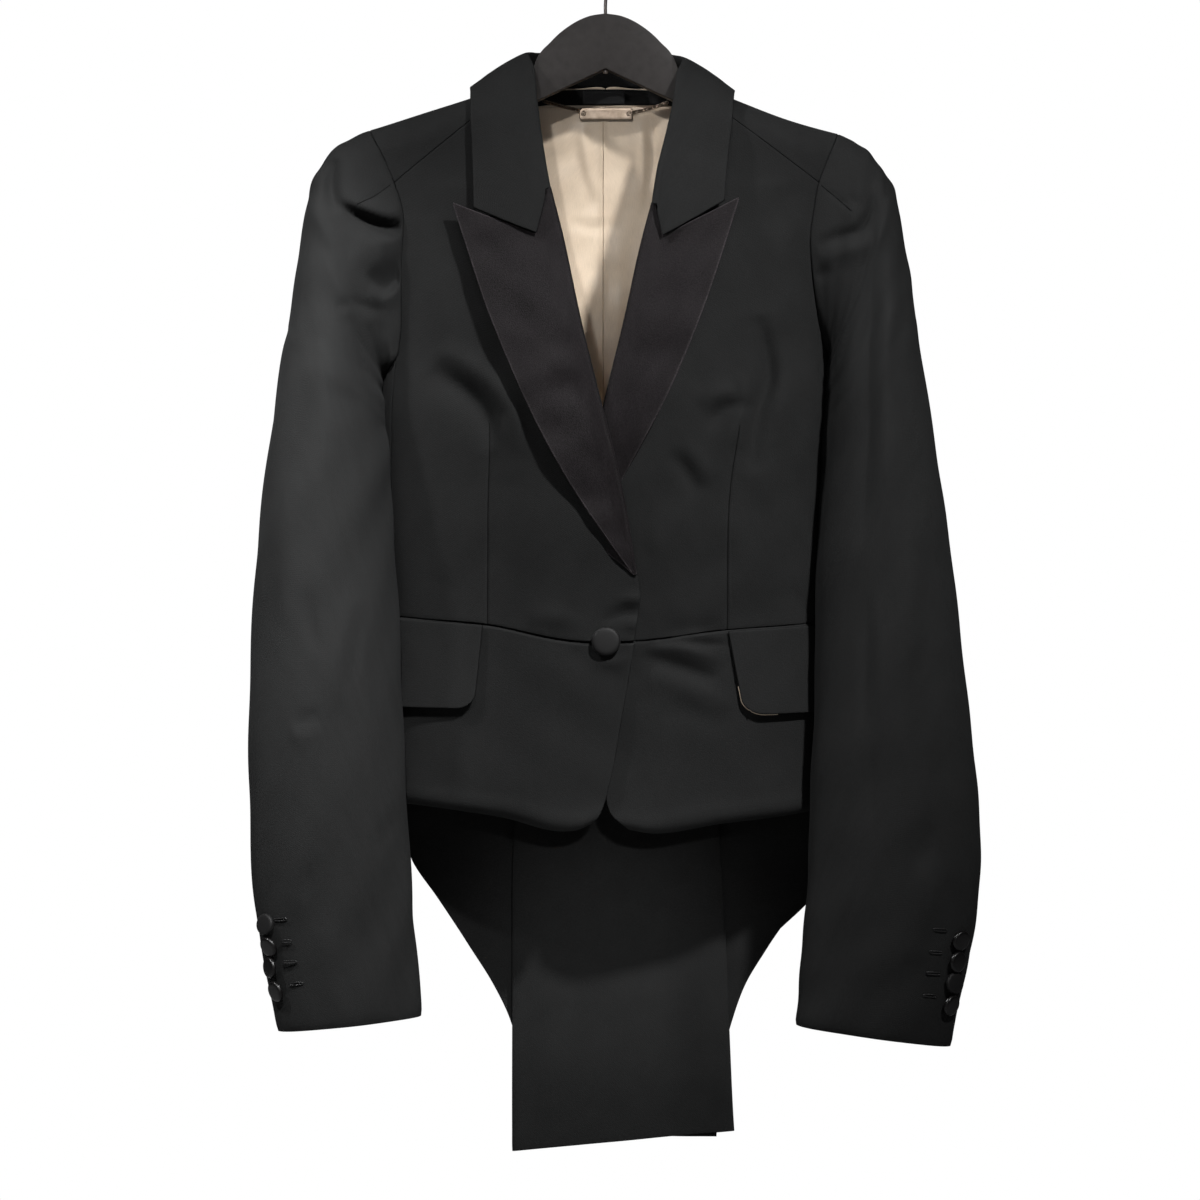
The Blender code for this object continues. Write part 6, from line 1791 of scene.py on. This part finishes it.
def chain_form(side):
    """Curb links, leaning one way and the other in turn."""
    course = rows_between(np.array(CHAIN_ENDS[side]), np.linspace(0, 2, 200))
    passed = passed_along(course)
    length = passed[-1]
    links = int(length / LINK_EVERY)
    turn = np.linspace(0, 2 * math.pi, 14, endpoint=False)[:, None]
    parts = []
    for number in range(links + 1):
        at = length * number / links
        places = [[np.interp(here, passed, axis) for axis in course.T] for here in (at, at + 0.5)]
        place, ahead = np.array(places)
        way = unit(ahead - place) if at < length - 0.4 else unit(course[-1] - course[-9])
        lean = math.radians(LINK_LEAN if number % 2 else -LINK_LEAN)
        flat = unit(np.cross(way, (0, 1, 0)))
        wide = flat * math.cos(lean) + np.cross(way, flat) * math.sin(lean)
        skew = way * LINK_SKEW * np.sin(turn)
        ring = place + way * LINK_LONG * np.cos(turn) + wide * LINK_WIDE * np.sin(turn) + skew
        parts.append(tube(ring, LINK_WIRE, 6, closed=True))
    return joined(parts)


def add_loop():
    """The metal plate, left bare, on its two lengths of curb chain."""
    solid_piece("loop_plate", "bare", plate_form(), "plate_metal", 50)
    for side, name in SIDES.items():
        solid_piece(f"loop_chain_{name}", "links", chain_form(side), "plate_metal")


HANGER = table(
    "out top bottom",
    (0, -62.4, -102.0),
    (12, -64.4, -107.5),
    (24, -70.0, -113.0),
    (39, -82.4, -120.0),
    (50, -96.6, -125.2),
    (55, -111.0, -127.5),
    (60, -114.5, -130.0),
    (72, -119.5, -135.5),
    (96, -128.6, -146.0),
    (128, -140.9, -158.5),
    (150, -148.0, -164.0),
)
HANGER_BELOW, HANGER_HALF, HANGER_RIDGE, HANGER_CORNER = 2.7, 4.5, 2.0, 0.9
HOOK_RADIUS, HOOK_WIRE = 18.5, 1.2
HOOK_STEM = (
    (0.0, 0.0, -66.0), (0.0, 0.0, -60.0), (0.0, 0.0, -56.0),
    (0.5, 0.0, -49.5), (2.4, 0.0, -44.5), (6.0, 0.0, -39.6),
)
HOOK_END_OUTLINE = ((1.9, 0.0), (1.9, 1.1), (1.5, 1.7), (0.6, 1.9))


def hanger_section(x, high, low, front, thick):
    """A four-cornered cut through the hanger at x, its corners rounded."""
    section = []
    for y, z in ((thick, high), (thick, low), (front, low), (front, high)):
        way_y, way_z = (1 if y > 0 else -1), (1 if z == high else -1)
        turns = (0, 30, 60, 90) if way_y * way_z < 0 else (90, 60, 30, 0)
        for turn in turns:
            deep = HANGER_CORNER * (1 - math.cos(math.radians(turn)))
            down = HANGER_CORNER * (1 - math.sin(math.radians(turn)))
            section.append((x, y - way_y * deep, z - way_z * down))
    return section


def hanger_body_form():
    """A flat body with a domed top, a ridge down its middle and arms along the shoulders."""
    arm = np.linspace(149.6, 64, 36)
    reach = np.concatenate([-arm, np.linspace(-63, 63, 127), arm[::-1]])
    far = np.abs(reach)
    under_shoulder = shoulder_line(reach) - HANGER_BELOW
    top = mix(column(HANGER, "out", "top", far), under_shoulder, ease((far - 63) / 14))
    bottom = column(HANGER, "out", "bottom", far)
    bottom = np.where(far < 50, np.interp(far, [0, 50], [-102.0, -125.4]), bottom)
    ridge = HANGER_RIDGE * np.clip(1 - far / 60, 0, 1)
    half = HANGER_HALF * mix(1.0, 0.72, ease((far - 120) / 30))
    sections = [hanger_section(*cut) for cut in zip(reach, top, bottom, -(half + ridge), half)]
    return np.array(sections).reshape(-1, 3), capped_faces(len(sections), len(sections[0]))


def hook_form():
    """A wire bent from its stem to a round hook with a pointed end, and the stem's end below."""
    around = np.radians(np.linspace(-54, 205, 26))
    bend = HOOK_RADIUS * np.stack([np.cos(around), 0 * around, np.sin(around)], axis=-1)
    route = np.concatenate([HOOK_STEM, bend + (0, 0, HOOK_WIRE - HOOK_RADIUS)])
    course = rows_between(route, np.linspace(0, len(route) - 1, 160))
    size = np.full(len(course), HOOK_WIRE)
    size[-4:] = HOOK_WIRE * np.array([1.0, 0.92, 0.72, 0.3])
    end = turned(np.array([0, -1.5, -103.0]), (0, 0, -1), HOOK_END_OUTLINE, 24, (0, 1, 0))
    return joined([tube(course, size, 20), end])


def add_hanger():
    """The hanger's body and its hook."""
    solid_piece("hanger_body", "shaped", hanger_body_form(), "hanger", 25)
    solid_piece("hanger_hook", "wire", hook_form(), "hook_metal", 50)


class Finish:
    """A material under construction."""

    def __init__(self, name):
        self.material = bpy.data.materials.new(name + "_finish")
        self.material.use_nodes = True
        self.nodes = self.material.node_tree.nodes
        self.links = self.material.node_tree.links
        self.shader = self.nodes["Principled BSDF"]

    def add(self, kind, inputs=None, **settings):
        node = self.nodes.new("ShaderNode" + kind)
        for key, value in settings.items():
            setattr(node, key, value)
        for key, value in (inputs or {}).items():
            self.put(node.inputs[key], value)
        return node

    def put(self, socket, value):
        if isinstance(value, bpy.types.NodeSocket):
            self.links.new(value, socket)
        else:
            socket.default_value = value

    def set(self, **inputs):
        for key, value in inputs.items():
            self.put(self.shader.inputs[key.replace("_", " ")], value)

    def math(self, operation, first, second):
        return self.add("Math", {0: first, 1: second}, operation=operation).outputs[0]

    def total(self, *parts):
        """The sum of some values, each times its share."""
        made, *rest = [self.math("MULTIPLY", value, share) for value, share in parts]
        for part in rest:
            made = self.math("ADD", made, part)
        return made

    def spread(self, value, low, high, to_low=0.0, to_high=1.0):
        inputs = {"Value": value, "From Min": low, "From Max": high, "To Min": to_low, "To Max": to_high}
        return self.add("MapRange", inputs).outputs[0]

    def cloth(self, scale=(1, 1, 1)):
        """The place in the cloth, in mm along its threads."""
        place = self.add("Attribute", attribute_name="cloth")
        return self.add("Mapping", {"Vector": place.outputs["Vector"], "Scale": scale}).outputs[0]

    def edge(self):
        """The distance from the cloth's rim."""
        return self.add("Attribute", attribute_name="edge").outputs["Fac"]

    def place(self):
        return self.add("TexCoord").outputs["Object"]

    def noise(self, vector, scale, detail=2.0, rough=0.55):
        inputs = {"Vector": vector, "Scale": scale, "Detail": detail, "Roughness": rough}
        return self.add("TexNoise", inputs).outputs["Fac"]

    def tint(self, amount, dark, light):
        node = self.add("Mix", data_type="RGBA")
        self.put(node.inputs[0], amount)
        self.put(node.inputs[6], (*dark, 1))
        self.put(node.inputs[7], (*light, 1))
        return node.outputs[2]

    def bump(self, height, distance, below=None):
        inputs = {"Height": height, "Distance": distance, "Strength": 1.0}
        if below is not None:
            inputs["Normal"] = below
        return self.add("Bump", inputs).outputs[0]


def scaled(colour, factor):
    """A colour made darker or lighter."""
    return tuple(min(part * factor, 1.0) for part in colour)


def woven(name, colour, shades, roughness, twill, bump, sheen, grain=1.0, gloss=0.12, rim=(0.5, 0.3)):
    """Cloth whose threads and grain show in colour, gloss and relief, lighter towards its rims, with
    painted light on the rim itself: painted shade for most cloths and a painted highlight for the satin.
    """
    made = Finish(name)
    fine = made.noise(made.cloth(), 0.95, 3.0, 0.62)
    slubs = made.noise(made.cloth((0.35, 2.4, 1)), 0.8, 2.0)
    cloud = made.noise(made.cloth(), 0.05, 2.0)
    wave = {"Vector": made.cloth(), "Scale": twill, "Distortion": 0.7, "Detail": 1.0, "Detail Scale": 2.0}
    weave = made.add("TexWave", wave, wave_type="BANDS", bands_direction="DIAGONAL").outputs["Fac"]
    # Lighter towards the rims, over their last 3 mm
    lighter_near_rim = made.spread(made.edge(), 0.6, 3.0, 1.0, 0.0)
    # Painted light on the rim: within rim[0] mm of it the colour is scaled by rim[1]. Below 1 this is
    # painted shade in the seams and at the rolled edges, above 1 a painted highlight where the edges catch
    # the light.
    at_rim = made.spread(made.edge(), rim[0] * 0.4, rim[0], rim[1], 1.0)
    threads = ((fine, 0.62 * grain), (slubs, 0.26 * grain))
    mottle = made.total(*threads, (cloud, 0.14), (weave, 0.12), (lighter_near_rim, 0.04))
    amount = made.spread(mottle, 0.44 * grain + 0.03, 0.62 * grain + 0.10)
    cloth_colour = made.tint(amount, *(scaled(colour, shade) for shade in shades))
    colour_with_painted_rim = made.add("VectorMath", {0: cloth_colour, "Scale": at_rim}, operation="SCALE").outputs[0]
    rough = made.spread(fine, 0.3, 0.7, roughness - 0.07, min(roughness + 0.08, 1.0))
    made.set(Base_Color=colour_with_painted_rim, Roughness=rough, Specular_IOR_Level=gloss)
    small = made.bump(made.total((weave, 0.5), (slubs, 0.5)), 0.00006 * bump)
    made.set(Normal=made.bump(fine, 0.00022 * bump, small))
    made.set(Sheen_Weight=sheen, Sheen_Roughness=0.45, Sheen_Tint=(0.8, 0.82, 0.85, 1))
    return made


def lining_satin(name):
    """The light satin of the lining, streaked along its threads."""
    made = Finish(name)
    streaks = made.noise(made.cloth((3.2, 0.16, 1)), 1.0, 3.0)
    fine = made.noise(made.cloth((1.0, 1.4, 1)), 1.5, 2.0)
    cloud = made.noise(made.cloth(), 0.03, 2.0)
    amount = made.spread(made.total((streaks, 0.45), (fine, 0.3), (cloud, 0.5)), 0.42, 0.84)
    made.set(Base_Color=made.tint(amount, (0.52, 0.415, 0.310), (0.78, 0.640, 0.485)))
    made.set(Roughness=made.spread(fine, 0.3, 0.7, 0.36, 0.5), Specular_IOR_Level=0.5)
    made.set(Normal=made.bump(made.total((streaks, 0.6), (fine, 0.4)), 0.00006))
    made.set(Sheen_Weight=0.25, Sheen_Roughness=0.3, Sheen_Tint=(1.0, 0.86, 0.66, 1))
    return made


def stiff(name, brushed, dark, light, contrast, roughness, bump, **shine):
    """Metal or lacquer, spotted in colour and brushed or plain in gloss."""
    made = Finish(name)
    spots = made.noise(made.place(), 160.0, 3.0)
    if brushed:
        stretched = made.add("Mapping", {"Vector": made.place(), "Scale": (240, 900, 2600)}).outputs[0]
        surface = made.noise(stretched, 1.0)
    else:
        surface = made.noise(made.place(), 1600.0)
    made.set(Base_Color=made.tint(made.spread(spots, *contrast), dark, light))
    made.set(Roughness=made.spread(surface, 0.3, 0.7, *roughness), **shine)
    made.set(Normal=made.bump(surface, bump))
    return made


# Colour, its darkest and lightest share, roughness, twill, relief, sheen, and where these differ
# from the usual: grain, gloss, and the rim's width and painted light: below 1 painted shade, above 1 a
# painted highlight
WOVEN = {
    "wool": ((0.0116, 0.0118, 0.0118), (0.74, 1.27), 0.85, 0.5, 1.0, 0.006, 1.0, 0.05),
    # The facing's darker cloth also paints the shade in the sunk seams
    "facing": ((0.006, 0.006, 0.0062), (0.75, 1.25), 0.8, 0.5, 1.0, 0.004),
    # The satin's rim is a painted highlight: its colour is raised 2.6 times where the edges catch the light
    "satin": ((0.0098, 0.0084, 0.0090), (0.38, 1.72), 0.58, 0.8, 1.1, 0.008, 1.15, 0.05, (1.3, 2.6)),
    "button_cloth": ((0.0150, 0.0146, 0.0149), (0.3, 2.0), 0.6, 0.6, 2.4, 0.02, 1.3, 0.2),
    "button_satin": ((0.0052, 0.0042, 0.0044), (0.75, 1.3), 0.36, 0.9, 0.8, 0.004, 1.0, 0.3),
    "thread": ((0.014, 0.014, 0.0145), (0.7, 1.4), 0.45, 0.9, 0.6, 0.02, 1.0, 0.3),
    "label": ((0.007, 0.007, 0.0075), (0.7, 1.4), 0.5, 1.2, 0.8, 0.01, 1.0, 0.2),
}
# Whether brushed, darkest and lightest colour, their contrast, roughness and relief
STIFF = {
    "plate_metal": (True, (0.22, 0.170, 0.128), (0.33, 0.265, 0.21), (0.35, 0.65), (0.30, 0.44), 0.00002),
    "hook_metal": (False, (0.34, 0.30, 0.28), (0.46, 0.42, 0.40), (0.35, 0.65), (0.26, 0.36), 0.00001),
    "hanger": (False, (0.0215, 0.0190, 0.0180), (0.030, 0.0265, 0.0255), (0.3, 0.7), (0.46, 0.56), 0.00003),
}


def make_finish(name):
    if name in WOVEN:
        return woven(name, *WOVEN[name])
    if name == "lining":
        return lining_satin(name)
    shine = {"Specular_IOR_Level": 0.22} if name == "hanger" else {"Metallic": 1.0}
    return stiff(name, *STIFF[name], **shine)


def material(name):
    """The material of a finish, made when first asked for."""
    found = bpy.data.materials.get(name + "_finish")
    return found or make_finish(name).material


# Names, directions, distances, sizes and powers, in degrees, metres and watts, and the cones and
# targets of the spots
LIGHTS = (
    ("key", 30, 46, 2.6, 0.16, 470, 20.0, (-0.03, 0.0, -0.56)),
    ("from_left", -68, 50, 2.6, 0.16, 50),
    ("fill", 0, 4, 2.75, 0.9, 3.5),
    ("upper_sleeve", 2, 46, 2.4, 0.12, 900, 6.2, (-0.243, -0.05, -0.26)),
    ("middle_sleeve", 2, 46, 2.4, 0.12, 560, 6.4, (-0.225, -0.06, -0.46)),
    ("lower_sleeve", 2, 46, 2.4, 0.12, 260, 8.0, (-0.220, -0.06, -0.68)),
    ("neck", -10, 20, 2.6, 0.10, 122, 5.2, (0.014, 0.03, -0.19)),
    ("tails", 5, 12, 2.6, 0.08, 190, 5.4, (0.0, 0.03, -0.735)),
)
MIDDLE = (0, 0, -0.47)
SENSOR, SEEN_WIDTH, CAMERA_AWAY = 36, 0.84, 2.5
FLOOR_TURNS = 96
FLOOR_RINGS = ((2.2, -1.312), (2.2, -1.30), (1.6, -1.30), (0.8, -1.30), (0.2, -1.30))


def place_lamp(lamp, azimuth, elevation, distance, at):
    """A lamp at a place given by its direction from the front and above, aimed at a point."""
    item = bpy.data.objects.new(lamp.name, lamp)
    turn, up = math.radians(azimuth), math.radians(elevation)
    way = Vector((math.cos(up) * math.sin(turn), -math.cos(up) * math.cos(turn), math.sin(up)))
    item.location = Vector(at) + way * distance
    item.rotation_euler = way.to_track_quat("Z", "Y").to_euler()
    bpy.context.collection.objects.link(item)


def add_light(name, azimuth, elevation, distance, size, power, cone=None, at=MIDDLE):
    """A spot held to its cone, or a soft disk where it has none."""
    lamp = bpy.data.lights.new(name, "SPOT" if cone else "AREA")
    lamp.energy = power
    if cone:
        lamp.shadow_soft_size = size / 2
        lamp.spot_size = math.radians(cone)
        lamp.spot_blend = 1.0
    else:
        lamp.shape = "DISK"
        lamp.size = size
    place_lamp(lamp, azimuth, elevation, distance, at)


def add_camera(scene):
    """The photo's view: level, from about 2.5 m in front."""
    camera = bpy.data.cameras.new("camera")
    camera.sensor_width = SENSOR
    camera.lens = SENSOR * CAMERA_AWAY / SEEN_WIDTH
    camera.clip_end = 50
    item = bpy.data.objects.new("camera", camera)
    item.location = (-0.0039, -2.56, -0.482)
    item.rotation_euler = (math.pi / 2, 0, 0)
    bpy.context.collection.objects.link(item)
    scene.camera = item


def add_world(scene):
    """White where the camera sees it, almost dark as a light."""
    world = bpy.data.worlds.new("studio")
    world.use_nodes = True
    nodes, links = world.node_tree.nodes, world.node_tree.links
    seen, lit = nodes.new("ShaderNodeBackground"), nodes["Background"]
    for background, colour, strength in ((seen, (1, 1, 1, 1), 1.0), (lit, (0.98, 0.99, 1, 1), 0.04)):
        background.inputs["Color"].default_value = colour
        background.inputs["Strength"].default_value = strength
    rays = nodes.new("ShaderNodeLightPath")
    both = nodes.new("ShaderNodeMixShader")
    links.new(rays.outputs["Is Camera Ray"], both.inputs["Fac"])
    links.new(lit.outputs[0], both.inputs[1])
    links.new(seen.outputs[0], both.inputs[2])
    links.new(both.outputs[0], nodes["World Output"].inputs["Surface"])
    scene.world = world


def add_floor():
    """A pale round floor below the picture."""
    turn = np.linspace(0, 2 * math.pi, FLOOR_TURNS, endpoint=False)
    rings = [
        np.stack([radius * np.cos(turn), radius * np.sin(turn), 0 * turn + height], axis=-1)
        for radius, height in FLOOR_RINGS
    ]
    mesh = bpy.data.meshes.new("floor")
    mesh.from_pydata(np.concatenate(rings).tolist(), [], capped_faces(len(rings), FLOOR_TURNS))
    floor = bpy.data.objects.new("floor", mesh)
    made = Finish("floor")
    cloud = made.noise(made.place(), 3.0, 4.0)
    made.set(Base_Color=made.tint(made.spread(cloud, 0.3, 0.7), (0.74, 0.74, 0.75), (0.80, 0.80, 0.80)))
    made.set(Roughness=made.spread(cloud, 0.3, 0.7, 0.7, 0.85))
    mesh.materials.append(made.material)
    bpy.context.collection.objects.link(floor)


def add_studio():
    scene = bpy.context.scene
    scene.view_settings.view_transform = "Standard"
    add_camera(scene)
    add_world(scene)
    add_floor()
    for light in LIGHTS:
        add_light(*light)


def main():
    add_body()
    add_buttons()
    add_inside()
    add_loop()
    add_hanger()
    add_studio()


main()
